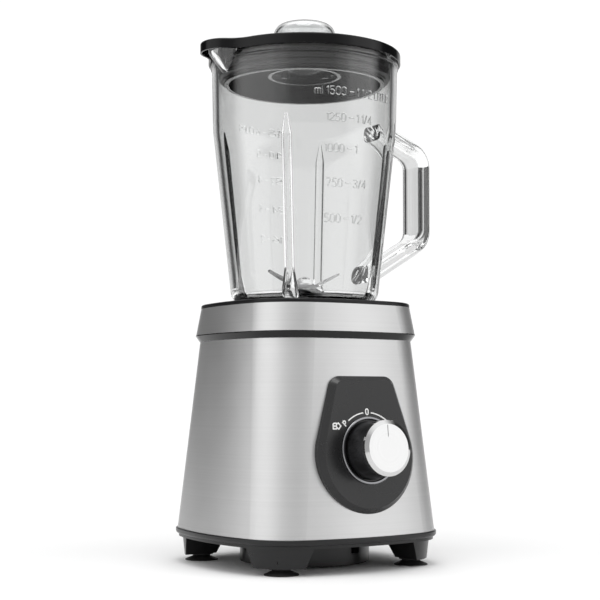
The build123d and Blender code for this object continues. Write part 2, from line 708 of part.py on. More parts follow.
def cord_gland():
    """Rubber bush in the rear wall that the mains lead would pass through."""
    plane = rear_plane(GLAND_Z)
    sag = GLAND_FLANGE**2 / (2 * SIDE_RADIUS)
    inside_z = -SHEET - sag - FACE_GAP - GLAND_FLANGE_THICK
    outside_z = FACE_GAP + GLAND_FLANGE_THICK
    flange = Circle(GLAND_FLANGE)
    gland = extrude(plane.offset(FACE_GAP) * flange, GLAND_FLANGE_THICK)
    gland += extrude(plane.offset(inside_z) * flange, GLAND_FLANGE_THICK)
    gland += extrude(plane.offset(inside_z) * Circle(GLAND_RADIUS), outside_z - inside_z)
    return gland - extrude(plane.offset(2 * inside_z) * Circle(GLAND_BORE), -4 * inside_z)


# ================================================================ control panel and knob
def control_panel():
    plane = front_plane(PANEL_CENTRE_Z)
    drop = PANEL_RADIUS**2 / (2 * SIDE_RADIUS) + 2 * SHEET
    flange = panel_slab(0, -drop, 0) - steel_block(grow=FACE_GAP)
    bevel = loft(
        [plane * panel_outline(), plane.offset(PANEL_HEIGHT) * panel_outline(PANEL_BEVEL)],
        ruled=True,
    )
    frame = panel_slab(PANEL_FRAME + LOOSE, -PANEL_DEPTH, PANEL_HEIGHT / 2)
    panel = flange + bevel + frame
    hollow = PANEL_FRAME + LOOSE + PANEL_FRAME_WALL
    panel -= panel_slab(hollow, -PANEL_DEPTH, PANEL_HEIGHT - PANEL_SKIN)
    return panel - on_knob_axis(SWITCH_BUSH + FACE_GAP, 0, -PANEL_DEPTH, PANEL_HEIGHT + 1)


def knob_bezel():
    """Bright ring that frames the foot of the knob."""
    ring = on_knob_axis(
        BEZEL_RING_OUT, BEZEL_RING_IN, PANEL_HEIGHT, PANEL_HEIGHT + BEZEL_RING_HEIGHT
    )
    top = ring.faces().sort_by(Axis(knob_plane(0).origin, knob_plane(0).z_dir))[-1]
    return fillet(top.edges(), BEZEL_RING_HEIGHT * 0.4)


def knob_grip():
    low = PANEL_HEIGHT + KNOB_GAP
    high = KNOB_HEIGHT - CAP_HEIGHT
    grip = loft(
        [knob_plane(low) * Circle(KNOB_RADIUS), knob_plane(high) * Circle(KNOB_NOSE)], ruled=True
    )
    cavity_top = PANEL_HEIGHT + NUT_HEIGHT + 2 * KNOB_GAP
    grip -= on_knob_axis(KNOB_NOSE - KNOB_WALL, 0, low, cavity_top)
    return grip - on_knob_axis(SPINDLE_RADIUS, 0, cavity_top, high - KNOB_WALL)


def knob_cap():
    low = KNOB_HEIGHT - CAP_HEIGHT
    shoulder = KNOB_HEIGHT - CAP_BEVEL_DROP
    cap = on_knob_axis(CAP_RADIUS, 0, low, shoulder)
    cap += loft(
        [
            knob_plane(shoulder) * Circle(CAP_RADIUS),
            knob_plane(KNOB_HEIGHT) * Circle(CAP_RADIUS - CAP_BEVEL),
        ],
        ruled=True,
    )
    line_top = CAP_RADIUS - CAP_BEVEL - INDEX_WIDTH
    mark = Pos(0, line_top - INDEX_LENGTH / 2) * Rectangle(INDEX_WIDTH, INDEX_LENGTH)
    return cap - extrude(knob_plane(KNOB_HEIGHT - INDEX_DEPTH) * mark, 2 * INDEX_DEPTH)


def knob_spindle():
    top = KNOB_HEIGHT - CAP_HEIGHT - KNOB_WALL
    return on_knob_axis(SPINDLE_RADIUS, 0, -PANEL_DEPTH - SWITCH_DEPTH / 2, top)


def switch_body():
    back = PANEL_HEIGHT - PANEL_SKIN
    case = extrude(
        knob_plane(back - SWITCH_DEPTH) * RectangleRounded(SWITCH_SIDE, SWITCH_SIDE, 2),
        SWITCH_DEPTH,
    )
    case += on_knob_axis(SWITCH_BUSH, 0, back, PANEL_HEIGHT + NUT_HEIGHT + KNOB_GAP)
    well_low = -PANEL_DEPTH - SWITCH_DEPTH / 2
    case -= on_knob_axis(SPINDLE_RADIUS + RUNNING, 0, well_low, KNOB_HEIGHT)
    for side in (-1, 1):
        for row in (-1, 0, 1):
            tag = Pos(side * SWITCH_SIDE / 3, row * SWITCH_SIDE / 4) * Rectangle(*SWITCH_TAG[:2])
            case += extrude(knob_plane(back - SWITCH_DEPTH - SWITCH_TAG[2]) * tag, SWITCH_TAG[2])
    return case


def switch_nut():
    plane = knob_plane(PANEL_HEIGHT)
    face = RegularPolygon(NUT_FLATS / 2, 6, major_radius=False) - Circle(SWITCH_BUSH)
    return extrude(plane * face, NUT_HEIGHT)


# ================================================================ motor, fixed pieces
def stator_core():
    bore = ROTOR_RADIUS + AIR_GAP
    face = RectangleRounded(CORE_X, CORE_Y, CORE_ROUND) - Circle(bore)
    core = extrude(Plane.XY.offset(CORE_Z) * face, CORE_HEIGHT)
    window = bore + COIL_THICK + 2 * COIL_GAP
    for angle in (0, 180):
        core -= sector(window, bore - 1, CORE_Z, CORE_HEIGHT, angle, 2 * COIL_SPREAD + 4)
    for side in (-1, 1):
        core -= Pos(0, side * BOLT_Y, CORE_Z) * Cylinder(BOLT_RADIUS, 3 * CORE_HEIGHT)
    return core


def field_coil(angle):
    bore = ROTOR_RADIUS + AIR_GAP
    low = CORE_Z - COIL_OVERHANG
    height = CORE_HEIGHT + 2 * COIL_OVERHANG
    inner = bore + COIL_GAP
    coil = sector(inner + COIL_THICK, inner, low, height, angle, 2 * COIL_SPREAD)
    return fillet(coil.edges().filter_by(Axis.Z), 2.0)


def bracket(plate_z, legs_to, width):
    """A bar across the motor with two legs that stand on the core, and a seat for its bush."""
    shape = box_between(
        (-width / 2, -LEG_OUT, plate_z), (width / 2, LEG_OUT, plate_z + BRACKET_PLATE)
    )
    low, high = sorted((plate_z, legs_to))
    for side in (-1, 1):
        near, far = sorted((side * LEG_OUT, side * (LEG_OUT - LEG_THICK)))
        shape += box_between((-BRACKET_WIDTH / 2, near, low), (BRACKET_WIDTH / 2, far, high))
    shape += tube(BUSH_RADIUS + BUSH_SEAT, 0, plate_z, BUSH_HEIGHT)
    shape -= tube(BUSH_RADIUS, 0, plate_z - 1, BUSH_HEIGHT + 2)
    for side in (-1, 1):
        shape -= Pos(0, side * BOLT_Y, plate_z) * Cylinder(BOLT_RADIUS, 3 * CORE_HEIGHT)
    return shape


def lower_bracket():
    return bracket(LOWER_BRACKET_Z, CORE_Z, BRACKET_WIDTH)


def upper_bracket():
    shape = bracket(UPPER_BRACKET_Z, CORE_Z + CORE_HEIGHT, UPPER_BRACKET_X)
    for x, y in corners(MOUNT_X, MOUNT_Y):
        shape -= Pos(x, y, UPPER_BRACKET_Z) * Cylinder(MOUNT_SCREW_RADIUS, 4 * BRACKET_PLATE)
    return shape


def bush(z):
    """Sintered bush that carries the motor shaft."""
    return tube(BUSH_RADIUS, SHAFT_RADIUS + RUNNING, z, BUSH_HEIGHT)


def motor_bolts():
    top = UPPER_BRACKET_Z + BRACKET_PLATE
    bolts = []
    for side in (-1, 1):
        shank = tube(BOLT_RADIUS, 0, LOWER_BRACKET_Z, top - LOWER_BRACKET_Z)
        head = tube(2 * BOLT_RADIUS, 0, LOWER_BRACKET_Z - BOLT_HEAD, BOLT_HEAD)
        bolts.append(Pos(0, side * BOLT_Y, 0) * (shank + head))
    return Compound(bolts)


def motor_mounts():
    low = UPPER_BRACKET_Z + BRACKET_PLATE
    mount = tube(MOUNT_RADIUS, MOUNT_SCREW_RADIUS, low, MOUNT_HEIGHT)
    return Compound([Pos(x, y, 0) * mount for x, y in corners(MOUNT_X, MOUNT_Y)])


def mount_screws():
    top = SHELF_Z + SHELF_THICK
    screws = []
    for x, y in corners(MOUNT_X, MOUNT_Y):
        shank = tube(MOUNT_SCREW_RADIUS, 0, UPPER_BRACKET_Z, top - UPPER_BRACKET_Z)
        head = tube(MOUNT_SCREW_HEAD, 0, top, SCREW_HEAD_HEIGHT)
        screws.append(Pos(x, y, 0) * (shank + head))
    return Compound(screws)


def carbon_brush(side):
    near = COMMUTATOR_RADIUS + BRUSH_GAP
    edge = sorted((side * near, side * (near + BRUSH_LENGTH)))
    return box_between(
        (-BRUSH_X / 2, edge[0], BRUSH_MIDDLE - BRUSH_Z / 2),
        (BRUSH_X / 2, edge[1], BRUSH_MIDDLE + BRUSH_Z / 2),
    )


def brush_holder(side):
    """Box that guides the brush, fixed to the leg of the lower bracket."""
    near = COMMUTATOR_RADIUS + BRUSH_GAP + BRUSH_SHOW
    far = LEG_OUT - LEG_THICK
    edge = sorted((side * near, side * far))
    bore = (BRUSH_X / 2 + BRUSH_PLAY, BRUSH_Z / 2 + BRUSH_PLAY)
    wall = [b + BRUSH_BOX_WALL for b in bore]
    shape = box_between(
        (-wall[0], edge[0], BRUSH_MIDDLE - wall[1]), (wall[0], edge[1], BRUSH_MIDDLE + wall[1])
    )
    return shape - box_between(
        (-bore[0], edge[0], BRUSH_MIDDLE - bore[1]), (bore[0], edge[1], BRUSH_MIDDLE + bore[1])
    )


def brush_spring(side):
    """Coil spring between the bracket's leg and the back of the brush."""
    start = COMMUTATOR_RADIUS + BRUSH_GAP + BRUSH_LENGTH
    length = LEG_OUT - LEG_THICK - start
    height = length - 2 * (SPRING_WIRE + SPRING_SEAT)
    path = Helix(pitch=height / SPRING_TURNS, height=height, radius=SPRING_RADIUS)
    section = Plane(origin=path @ 0, z_dir=path % 0) * Circle(SPRING_WIRE)
    coil = Rot(-side * 90, 0, 0) * sweep(section, path=path)
    return Pos(0, side * (start + SPRING_WIRE + SPRING_SEAT), BRUSH_MIDDLE) * coil


def fan_shroud():
    inner = FAN_RADIUS + SHROUD_GAP
    top = FAN_Z + FAN_HEIGHT + 1
    return tube(inner + SHROUD_WALL, inner, FLOOR_TOP, top - FLOOR_TOP)


def noise_capacitor():
    """Suppression capacitor, standing on the plate behind the motor."""
    width, depth, height = CAPACITOR_SIZE
    front = HUB_RADIUS
    case = box_between((-width / 2, front, FLOOR_TOP), (width / 2, front + depth, FLOOR_TOP + height))
    case = fillet(case.edges(), 1.2)
    for side in (-1, 1):
        x = side * CAPACITOR_PINS_APART / 2
        pin_z = FLOOR_TOP + height + 1.5
        case += Pos(x, front + depth / 2, pin_z) * Cylinder(CAPACITOR_PIN, 5)
    return case


# ================================================================ motor, turning pieces
def motor_shaft():
    return tube(SHAFT_RADIUS, 0, SHAFT_Z, DRIVE_Z + COUPLING_DISC - COUPLING_SKIN - SHAFT_Z)


def rotor_core():
    core = tube(ROTOR_RADIUS, SHAFT_RADIUS, CORE_Z, CORE_HEIGHT)
    depth, width = ROTOR_SLOT
    slot = box_between(
        (ROTOR_RADIUS - depth, -width / 2, CORE_Z - 1),
        (ROTOR_RADIUS + 1, width / 2, CORE_Z + CORE_HEIGHT + 1),
    )
    for cut in around(slot, ROTOR_SLOTS):
        core -= cut
    return core


def rotor_winding():
    """The winding's two end turns, wound on the shaft against the core."""
    turns = []
    for z in (CORE_Z - WINDING_HEIGHT, CORE_Z + CORE_HEIGHT):
        ring = tube(ROTOR_RADIUS - WINDING_INSET, SHAFT_RADIUS, z, WINDING_HEIGHT)
        outer_edges = ring.edges().filter_by(GeomType.CIRCLE).sort_by(SortBy.RADIUS)[-2:]
        turns.append(fillet(outer_edges, WINDING_HEIGHT / 3))
    return Compound(turns)


def commutator():
    ring = tube(COMMUTATOR_RADIUS, SHAFT_RADIUS, COMMUTATOR_Z, COMMUTATOR_HEIGHT)
    slit = box_between(
        (COMMUTATOR_RADIUS - 1.5, -0.2, COMMUTATOR_Z - 1),
        (COMMUTATOR_RADIUS + 1, 0.2, COMMUTATOR_Z + COMMUTATOR_HEIGHT - 2.4),
    )
    for cut in around(slit, COMMUTATOR_BARS):
        ring -= cut
    return ring


def cooling_fan():
    fan = tube(FAN_HUB, SHAFT_RADIUS, FAN_Z, FAN_HEIGHT)
    fan += tube(FAN_RADIUS, FAN_HUB, FAN_Z + FAN_HEIGHT - FAN_PLATE, FAN_PLATE)
    blade = box_between(
        (FAN_HUB - 1, -FAN_VANE / 2, FAN_Z), (FAN_RADIUS - 1, FAN_VANE / 2, FAN_Z + FAN_HEIGHT)
    )
    for vane in around(blade, FAN_BLADES):
        fan += vane
    return fan - tube(SHAFT_RADIUS, 0, FAN_Z - 1, FAN_HEIGHT + 2)


def dogs(z, start):
    tooth = sector(DOG_OUTER, DOG_INNER, z, DOG_HEIGHT, 0, DOG_SPAN)
    return around(tooth, DOG_COUNT, start)


def drive_coupling():
    hub = tube(DOG_OUTER, 0, DRIVE_Z, COUPLING_DISC)
    hub += Part() + dogs(DRIVE_Z + COUPLING_DISC, 0)
    return hub - tube(SHAFT_RADIUS, 0, DRIVE_Z - 1, COUPLING_DISC + 1 - COUPLING_SKIN)


# ================================================================ jug
def jug_outside():
    """The jug's outer form without its handle: neck, rounded heel, tapered wall, straight top."""
    heel_top = GLASS_Z + HEEL_RADIUS
    heel = CenterArc((JUG_LOW_RADIUS - HEEL_RADIUS, heel_top), HEEL_RADIUS, -90, 90)
    bead_low = RIM_TOP - RIM_BEAD_HEIGHT
    lines = [
        Line((0, NECK_Z), (NECK_RADIUS, NECK_Z)),
        Line((NECK_RADIUS, NECK_Z), (NECK_RADIUS, GLASS_Z)),
        Line((NECK_RADIUS, GLASS_Z), heel @ 0),
        heel,
    ]
    taper = Line(heel @ 1, (JUG_KNEE_RADIUS, KNEE_Z))
    top = Line((JUG_KNEE_RADIUS, KNEE_Z), (JUG_RIM_RADIUS, bead_low))
    lines += [
        taper,
        top,
        Line((JUG_RIM_RADIUS, bead_low), (JUG_RIM_RADIUS + RIM_BEAD, bead_low + RIM_BEAD)),
        Line((JUG_RIM_RADIUS + RIM_BEAD, bead_low + RIM_BEAD), (JUG_RIM_RADIUS + RIM_BEAD, RIM_TOP)),
        Line((JUG_RIM_RADIUS + RIM_BEAD, RIM_TOP), (0, RIM_TOP)),
        Line((0, RIM_TOP), (0, NECK_Z)),
    ]
    face = make_face(lines)
    knee = face.vertices().sort_by_distance((JUG_KNEE_RADIUS, KNEE_Z))[0]
    face = fillet(knee, KNEE_ROUND)
    return revolve(Plane.XZ * face, Axis.Z)


def jug_inside():
    """The space in the jug, from the mouth of the neck to above the rim, without the ribs."""
    heel_top = INNER_FLOOR + HEEL_INNER
    low = JUG_LOW_RADIUS - GLASS_WALL
    knee = JUG_KNEE_RADIUS - GLASS_WALL
    rim = JUG_RIM_RADIUS - GLASS_WALL
    heel = CenterArc((low - HEEL_INNER, heel_top), HEEL_INNER, -90, 90)
    over = RIM_TOP + 2
    face = make_face(
        [
            Line((0, NECK_Z - 1), (NECK_BORE, NECK_Z - 1)),
            Line((NECK_BORE, NECK_Z - 1), (NECK_BORE, INNER_FLOOR)),
            Line((NECK_BORE, INNER_FLOOR), heel @ 0),
            heel,
            Line(heel @ 1, (knee, KNEE_Z)),
            Line((knee, KNEE_Z), (rim, over)),
            Line((rim, over), (0, over)),
            Line((0, over), (0, NECK_Z - 1)),
        ]
    )
    corner = face.vertices().sort_by_distance((knee, KNEE_Z))[0]
    face = fillet(corner, KNEE_ROUND)
    return revolve(Plane.XZ * face, Axis.Z)


def ribs():
    """Four beads down the inside, each on a wide foot and with a pointed top."""
    low_r = JUG_LOW_RADIUS - GLASS_WALL
    high_r = JUG_KNEE_RADIUS - GLASS_WALL
    low_z = INNER_FLOOR
    high_z = KNEE_Z + RIB_OVER_KNEE
    lean = degrees(atan2(high_r - low_r, high_z - low_z))
    length = sqrt((high_r - low_r) ** 2 + (high_z - low_z) ** 2)
    upward = (Align.CENTER, Align.CENTER, Align.MIN)
    straight = length - RIB_FLARE - RIB_POINT
    foot_ball = Sphere(RIB_FOOT)
    flare = Cone(RIB_FOOT, RIB_RADIUS, RIB_FLARE, align=upward)
    bead = Pos(0, 0, RIB_FLARE) * Cylinder(RIB_RADIUS, straight, align=upward)
    point = Pos(0, 0, length - RIB_POINT) * Cone(RIB_RADIUS, RIB_TIP, RIB_POINT, align=upward)
    rib = Pos(low_r, 0, low_z) * Rot(0, lean, 0) * (foot_ball + flare + bead + point)
    return around(rib, 4, 45)


def spout(inset):
    """The pouring lip: a round funnel that leans out of the wall below the rim."""
    top_z = RIM_TOP + (2 if inset else 0)
    radius = SPOUT_RADIUS - inset
    top = Plane.XY.offset(top_z) * Pos(-(SPOUT_REACH - SPOUT_RADIUS), 0) * Circle(radius)
    root_x = -(JUG_RIM_RADIUS - SPOUT_ROOT - 2)
    root_radius = max(SPOUT_ROOT - inset / 2, 1.0)
    root_z = RIM_TOP - SPOUT_DEPTH + (inset if inset else 0)
    root = Plane.XY.offset(root_z) * Pos(root_x, 0) * Circle(root_radius)
    return loft([root, top], ruled=True)


def handle():
    """A D-shaped glass handle: two arms that slope down to the jug, and an upright grip."""
    inside = JUG_LOW_RADIUS - 1
    path = FilletPolyline(
        (inside, 0, DECK_TOP + ARM_TOP),
        (GRIP_X, 0, DECK_TOP + GRIP_TOP),
        (GRIP_X, 0, DECK_TOP + GRIP_LOW),
        (inside, 0, DECK_TOP + ARM_LOW),
        radius=GRIP_BEND,
    )
    section = Plane(origin=path @ 0, x_dir=(0, 1, 0), z_dir=path % 0) * RectangleRounded(
        GRIP_WIDTH, GRIP_THICK, GRIP_ROUND
    )
    return sweep(section, path=path)


def glass_jug():
    outside = jug_outside()
    inside = jug_inside() + spout(SPOUT_WALL)
    shell = outside + spout(0) + handle()
    space = inside
    for rib in ribs():
        space -= rib
    jug = shell - space
    lug_z = GLASS_Z - LUG_DROP - LUG_HEIGHT
    lug = sector(NECK_RADIUS + LUG_REACH, NECK_RADIUS - 1, lug_z, LUG_HEIGHT, 0, LUG_SPAN)
    for piece in around(lug, LUG_COUNT, 45):
        jug += piece
    return jug


# ================================================================ blade unit, under and in the jug
def jug_gasket():
    return tube(NECK_RADIUS, NECK_BORE - LOOSE, GASKET_Z, GASKET_HEIGHT)


def blade_carrier():
    """Plug that fills the neck of the jug, carries the blades' bush, and keys into the deck."""
    carrier = tube(NECK_RADIUS, 0, FLANGE_Z, FLANGE_HEIGHT)
    carrier += tube(NECK_BORE - 2 * LOOSE, 0, GASKET_Z, CARRIER_TOP - GASKET_Z)
    carrier += turned(
        (0, CARRIER_TOP - 1),
        (CARRIER_BOSS, CARRIER_TOP - 1),
        (CARRIER_BOSS, CARRIER_TOP),
        (CARRIER_HUB, CARRIER_TOP + 1.5),
        (CARRIER_HUB_TOP + 1.5, HUB_TOP - 1),
        (CARRIER_HUB_TOP, HUB_TOP),
        (0, HUB_TOP),
    )
    ring_low = POCKET_Z + LOOSE
    carrier += tube(KEY_RING_OUT, KEY_RING_IN, ring_low, FLANGE_Z - ring_low)
    key_out = KEY_RING_OUT + KEY_REACH
    key = sector(key_out, KEY_RING_OUT - 1, ring_low, SEAT_Z - ring_low, 0, KEY_SPAN)
    for piece in around(key, KEY_COUNT):
        carrier += piece
    carrier -= tube(CAVITY_RADIUS, 0, FLANGE_Z - 1, CAVITY_TOP - FLANGE_Z + 1)
    groove_in = CAVITY_RADIUS + 3
    carrier -= tube(KEY_RING_IN, groove_in, FLANGE_Z - 1, CARRIER_TOP - FLANGE_Z - 3)
    return carrier - tube(JUG_BUSH_RADIUS, 0, CAVITY_TOP - 1, HUB_TOP - CAVITY_TOP + 2)


def jug_bush():
    high = HUB_TOP - LIP_SEAL_HEIGHT
    return tube(JUG_BUSH_RADIUS, BLADE_SHAFT + RUNNING, CAVITY_TOP, high - CAVITY_TOP)


def lip_seal():
    low = HUB_TOP - LIP_SEAL_HEIGHT
    return tube(JUG_BUSH_RADIUS, BLADE_SHAFT + RUNNING, low, LIP_SEAL_HEIGHT)


def locking_ring():
    """Bayonet ring that holds the carrier against the neck; its lugs sit on the neck's lugs."""
    ring_high = GLASS_Z - 1.0
    inner = RING_OUT - RING_WALL
    ring = tube(RING_OUT, inner, SEAT_Z, ring_high - SEAT_Z)
    ring += tube(inner, POCKET_RADIUS, SEAT_Z, RING_WEB)
    lug_z = GLASS_Z - LUG_DROP + LUG_PLAY
    lug_in = NECK_RADIUS + 3 * LUG_PLAY
    lug = sector(inner + 1, lug_in, lug_z, ring_high - lug_z, 0, LUG_SPAN)
    for piece in around(lug, LUG_COUNT, 45):
        ring += piece
    flute = Pos(RING_OUT + FLUTE_RADIUS / 2, 0, SEAT_Z) * Cylinder(FLUTE_RADIUS, 100)
    for cut in around(flute, RING_FLUTES):
        ring -= cut
    return ring


def driven_coupling():
    disc = tube(DOG_OUTER, 0, DRIVEN_Z, COUPLING_DISC)
    low = DRIVEN_Z - DOG_HEIGHT
    disc += Part() + dogs(low, 180 / DOG_COUNT)
    return disc - tube(BLADE_SHAFT, 0, DRIVEN_Z + 1, COUPLING_DISC)


def blade_shaft():
    low = DRIVEN_Z + 1
    shaft_top = BLADES_Z + 2 * BLADE_THICK + WASHER_HEIGHT + BLADE_NUT_HEIGHT - NUT_CROWN
    return tube(BLADE_SHAFT, 0, low, shaft_top - low)


def bent_blade(bend_angle, z):
    """A two-armed blade: flat at the shaft, arms bent by bend_angle, planform cut to a slant."""
    rise = tan(radians(bend_angle)) * (BLADE_REACH - BLADE_BEND)
    line = [(-BLADE_REACH, rise), (-BLADE_BEND, 0), (BLADE_BEND, 0), (BLADE_REACH, rise)]
    upper = [(x, height + BLADE_THICK) for x, height in reversed(line)]
    side = make_face(Polyline(*line, *upper, close=True))
    strip = extrude(Plane.XZ.offset(-BLADE_WIDTH / 2) * side, BLADE_WIDTH)
    half = BLADE_WIDTH / 2
    shape = make_face(
        Polyline(
            (-BLADE_REACH, -half),
            (-BLADE_BEND, -half),
            (BLADE_BEND, -half),
            (BLADE_REACH, half * 0.3),
            (BLADE_REACH, half),
            (BLADE_BEND, half),
            (-BLADE_BEND, half),
            (-BLADE_REACH, -half * 0.3),
            close=True,
        )
    )
    strip &= extrude(Plane.XY.offset(-BLADE_REACH) * shape, 2 * BLADE_REACH)
    strip -= Cylinder(BLADE_SHAFT, 10 * BLADE_THICK)
    return Pos(0, 0, z) * strip


def upper_blades():
    return bent_blade(BLADE_RISE, BLADES_Z + BLADE_THICK).rotate(Axis.Z, BLADE_TURN[0])


def lower_blades():
    return bent_blade(-BLADE_FALL, BLADES_Z).rotate(Axis.Z, BLADE_TURN[1])


def blade_washers():
    low = tube(WASHER_RADIUS, BLADE_SHAFT, HUB_TOP + WASHER_LIFT, WASHER_HEIGHT - WASHER_LIFT)
    high = tube(WASHER_RADIUS, BLADE_SHAFT, BLADES_Z + 2 * BLADE_THICK, WASHER_HEIGHT)
    return Compound([low, high])


def blade_nut():
    low = BLADES_Z + 2 * BLADE_THICK + WASHER_HEIGHT
    flats = RegularPolygon(BLADE_NUT_FLATS / 2, 6, major_radius=False)
    nut = extrude(Plane.XY.offset(low) * flats, BLADE_NUT_HEIGHT)
    dome_radius = BLADE_NUT_FLATS * 0.56
    nut &= Pos(0, 0, low + BLADE_NUT_HEIGHT - dome_radius) * Sphere(dome_radius) + tube(
        BLADE_NUT_FLATS, 0, low, BLADE_NUT_HEIGHT * 0.55
    )
    return nut - tube(BLADE_SHAFT, 0, low, BLADE_NUT_HEIGHT - NUT_CROWN)


# ================================================================ lid and cap
def lid_outline(inset=0.0):
    """A disc with a rounded tongue over the spout, the two blended by hollow arcs."""
    disc = LID_RADIUS - inset
    lobe = LOBE_RADIUS - inset
    blend = LOBE_BLEND + inset
    lobe_x = LOBE_REACH - LOBE_RADIUS
    far_x = (lobe_x**2 + (disc + blend) ** 2 - (lobe + blend) ** 2) / (2 * lobe_x)
    far_y = sqrt((disc + blend) ** 2 - far_x**2)
    on_disc = degrees(atan2(far_y, far_x))
    on_lobe = degrees(atan2(far_y, far_x - lobe_x))
    round_part = CenterArc((0, 0), disc, 180 + on_disc, 360 - 2 * on_disc)
    tongue = CenterArc((-lobe_x, 0), lobe, 180 - on_lobe, 2 * on_lobe)
    hollow_turn = on_lobe - on_disc
    above = CenterArc((-far_x, far_y), blend, -on_disc, -hollow_turn)
    below = CenterArc((-far_x, -far_y), blend, on_disc, hollow_turn)
    return make_face([round_part, above, tongue, below])


def lid():
    plate = extrude(Plane.XY.offset(LID_Z) * lid_outline(), LID_PLATE)
    plate = fillet(plate.faces().sort_by(Axis.Z)[-1].edges(), LID_ROUND)
    skirt_face = lid_outline() - lid_outline(LID_SKIRT_WALL)
    plate += extrude(Plane.XY.offset(LID_Z - LID_SKIRT) * skirt_face, LID_SKIRT)
    plate += tube(PLUG_RADIUS, PLUG_RADIUS - PLUG_WALL, LID_Z - PLUG_DEPTH, PLUG_DEPTH)
    neck_low = LID_Z - FILLER_DEPTH
    plate += tube(FILLER_RADIUS + FILLER_WALL, 0, neck_low, FILLER_TOP - neck_low)
    return plate - tube(FILLER_RADIUS, 0, neck_low - 1, FILLER_TOP - neck_low + 2)


def lid_seal():
    """Soft sleeve on the plug, with lips that wipe the inside of the glass."""
    low = LID_Z - PLUG_DEPTH + SEAL_START
    height = PLUG_DEPTH - SEAL_START - SEAL_END
    seal = tube(PLUG_RADIUS + SEAL_BASE, PLUG_RADIUS, low, height)
    for row in range(SEAL_LIPS):
        z = low + 1 + row * SEAL_LIP_PITCH
        seal += turned(
            (PLUG_RADIUS + SEAL_BASE - 0.5, z),
            (SEAL_LIP_RADIUS, z + SEAL_LIP_HEIGHT * 0.6),
            (SEAL_LIP_RADIUS, z + SEAL_LIP_HEIGHT),
            (PLUG_RADIUS + SEAL_BASE - 0.5, z + SEAL_LIP_HEIGHT * 1.2),
        )
    return seal


def measuring_cap():
    """A clear cup, upside down in the lid: a domed top, a flange on the filler, a skirt in it."""
    top = FILLER_TOP + CUP_HEIGHT
    low = FILLER_TOP - CUP_SKIRT
    flange_top = FILLER_TOP + CUP_FLANGE_THICK
    outer = make_face(
        Polyline(
            (0, low),
            (CUP_RADIUS, low),
            (CUP_RADIUS, FILLER_TOP),
            (CUP_FLANGE, FILLER_TOP),
            (CUP_FLANGE, flange_top),
            (CUP_RADIUS, flange_top),
            (CUP_TOP_RADIUS, top),
            (0, top),
            close=True,
        )
    )
    crown = outer.vertices().sort_by_distance((CUP_TOP_RADIUS, top))[0]
    outer = fillet(crown, CUP_ROUND)
    inner = make_face(
        Polyline(
            (0, low),
            (CUP_RADIUS - CUP_WALL, low),
            (CUP_RADIUS - CUP_WALL, flange_top),
            (CUP_TOP_RADIUS - CUP_WALL, top - CUP_WALL),
            (0, top - CUP_WALL),
            close=True,
        )
    )
    roof = inner.vertices().sort_by_distance((CUP_TOP_RADIUS - CUP_WALL, top - CUP_WALL))[0]
    inner = fillet(roof, CUP_ROUND - CUP_WALL)
    return revolve(Plane.XZ * (outer - inner), Axis.Z)


# ================================================================ build
NODES = {
    "bottom_plate": bottom_plate,
    "base_screws": base_screws,
    "steel_body": steel_body,
    "steel_collar": steel_collar,
    "seam_trim": seam_trim,
    "top_deck": top_deck,
    "splash_seal": splash_seal,
    "motor_chassis": motor_chassis,
    "cord_gland": cord_gland,
    "control_panel": control_panel,
    "knob_bezel": knob_bezel,
    "switch_body": switch_body,
    "switch_nut": switch_nut,
    "knob_grip": knob_grip,
    "knob_cap": knob_cap,
    "knob_spindle": knob_spindle,
    "stator_core": stator_core,
    "field_coil_left": lambda: field_coil(180),
    "field_coil_right": lambda: field_coil(0),
    "lower_bracket": lower_bracket,
    "upper_bracket": upper_bracket,
    "lower_motor_bush": lambda: bush(LOWER_BRACKET_Z),
    "upper_motor_bush": lambda: bush(UPPER_BRACKET_Z),
    "motor_bolts": motor_bolts,
    "motor_mounts": motor_mounts,
    "mount_screws": mount_screws,
    "carbon_brush_front": lambda: carbon_brush(-1),
    "carbon_brush_rear": lambda: carbon_brush(1),
    "brush_holder_front": lambda: brush_holder(-1),
    "brush_holder_rear": lambda: brush_holder(1),
    "brush_spring_front": lambda: brush_spring(-1),
    "brush_spring_rear": lambda: brush_spring(1),
    "fan_shroud": fan_shroud,
    "noise_capacitor": noise_capacitor,
    "motor_shaft": motor_shaft,
    "rotor_core": rotor_core,
    "rotor_winding": rotor_winding,
    "commutator": commutator,
    "cooling_fan": cooling_fan,
    "drive_coupling": drive_coupling,
    "glass_jug": glass_jug,
    "jug_gasket": jug_gasket,
    "blade_carrier": blade_carrier,
    "jug_bush": jug_bush,
    "lip_seal": lip_seal,
    "locking_ring": locking_ring,
    "driven_coupling": driven_coupling,
    "blade_shaft": blade_shaft,
    "upper_blades": upper_blades,
    "lower_blades": lower_blades,
    "blade_washers": blade_washers,
    "blade_nut": blade_nut,
    "lid": lid,
    "lid_seal": lid_seal,
    "measuring_cap": measuring_cap,
}
for x, y in corners(FOOT_SPREAD, FOOT_SPREAD):
    where = ("front" if y < 0 else "rear") + ("_left" if x < 0 else "_right")
    NODES["foot_" + where] = lambda x=x, y=y: foot(x, y)


def main():
    os.makedirs("parts", exist_ok=True)
    for name, make in NODES.items():
        export_step(make(), os.path.join("parts", name + ".step"))


if __name__ == "__main__":
    main()
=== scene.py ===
"""Countertop blender: finishes, markings, floor, light and camera over the packed frame."""

import json
from math import cos, degrees, pi, radians, sin

import bpy
from bpy.props import FloatProperty, FloatVectorProperty, PointerProperty
from mathutils import Matrix, Vector
from mathutils.bvhtree import BVHTree


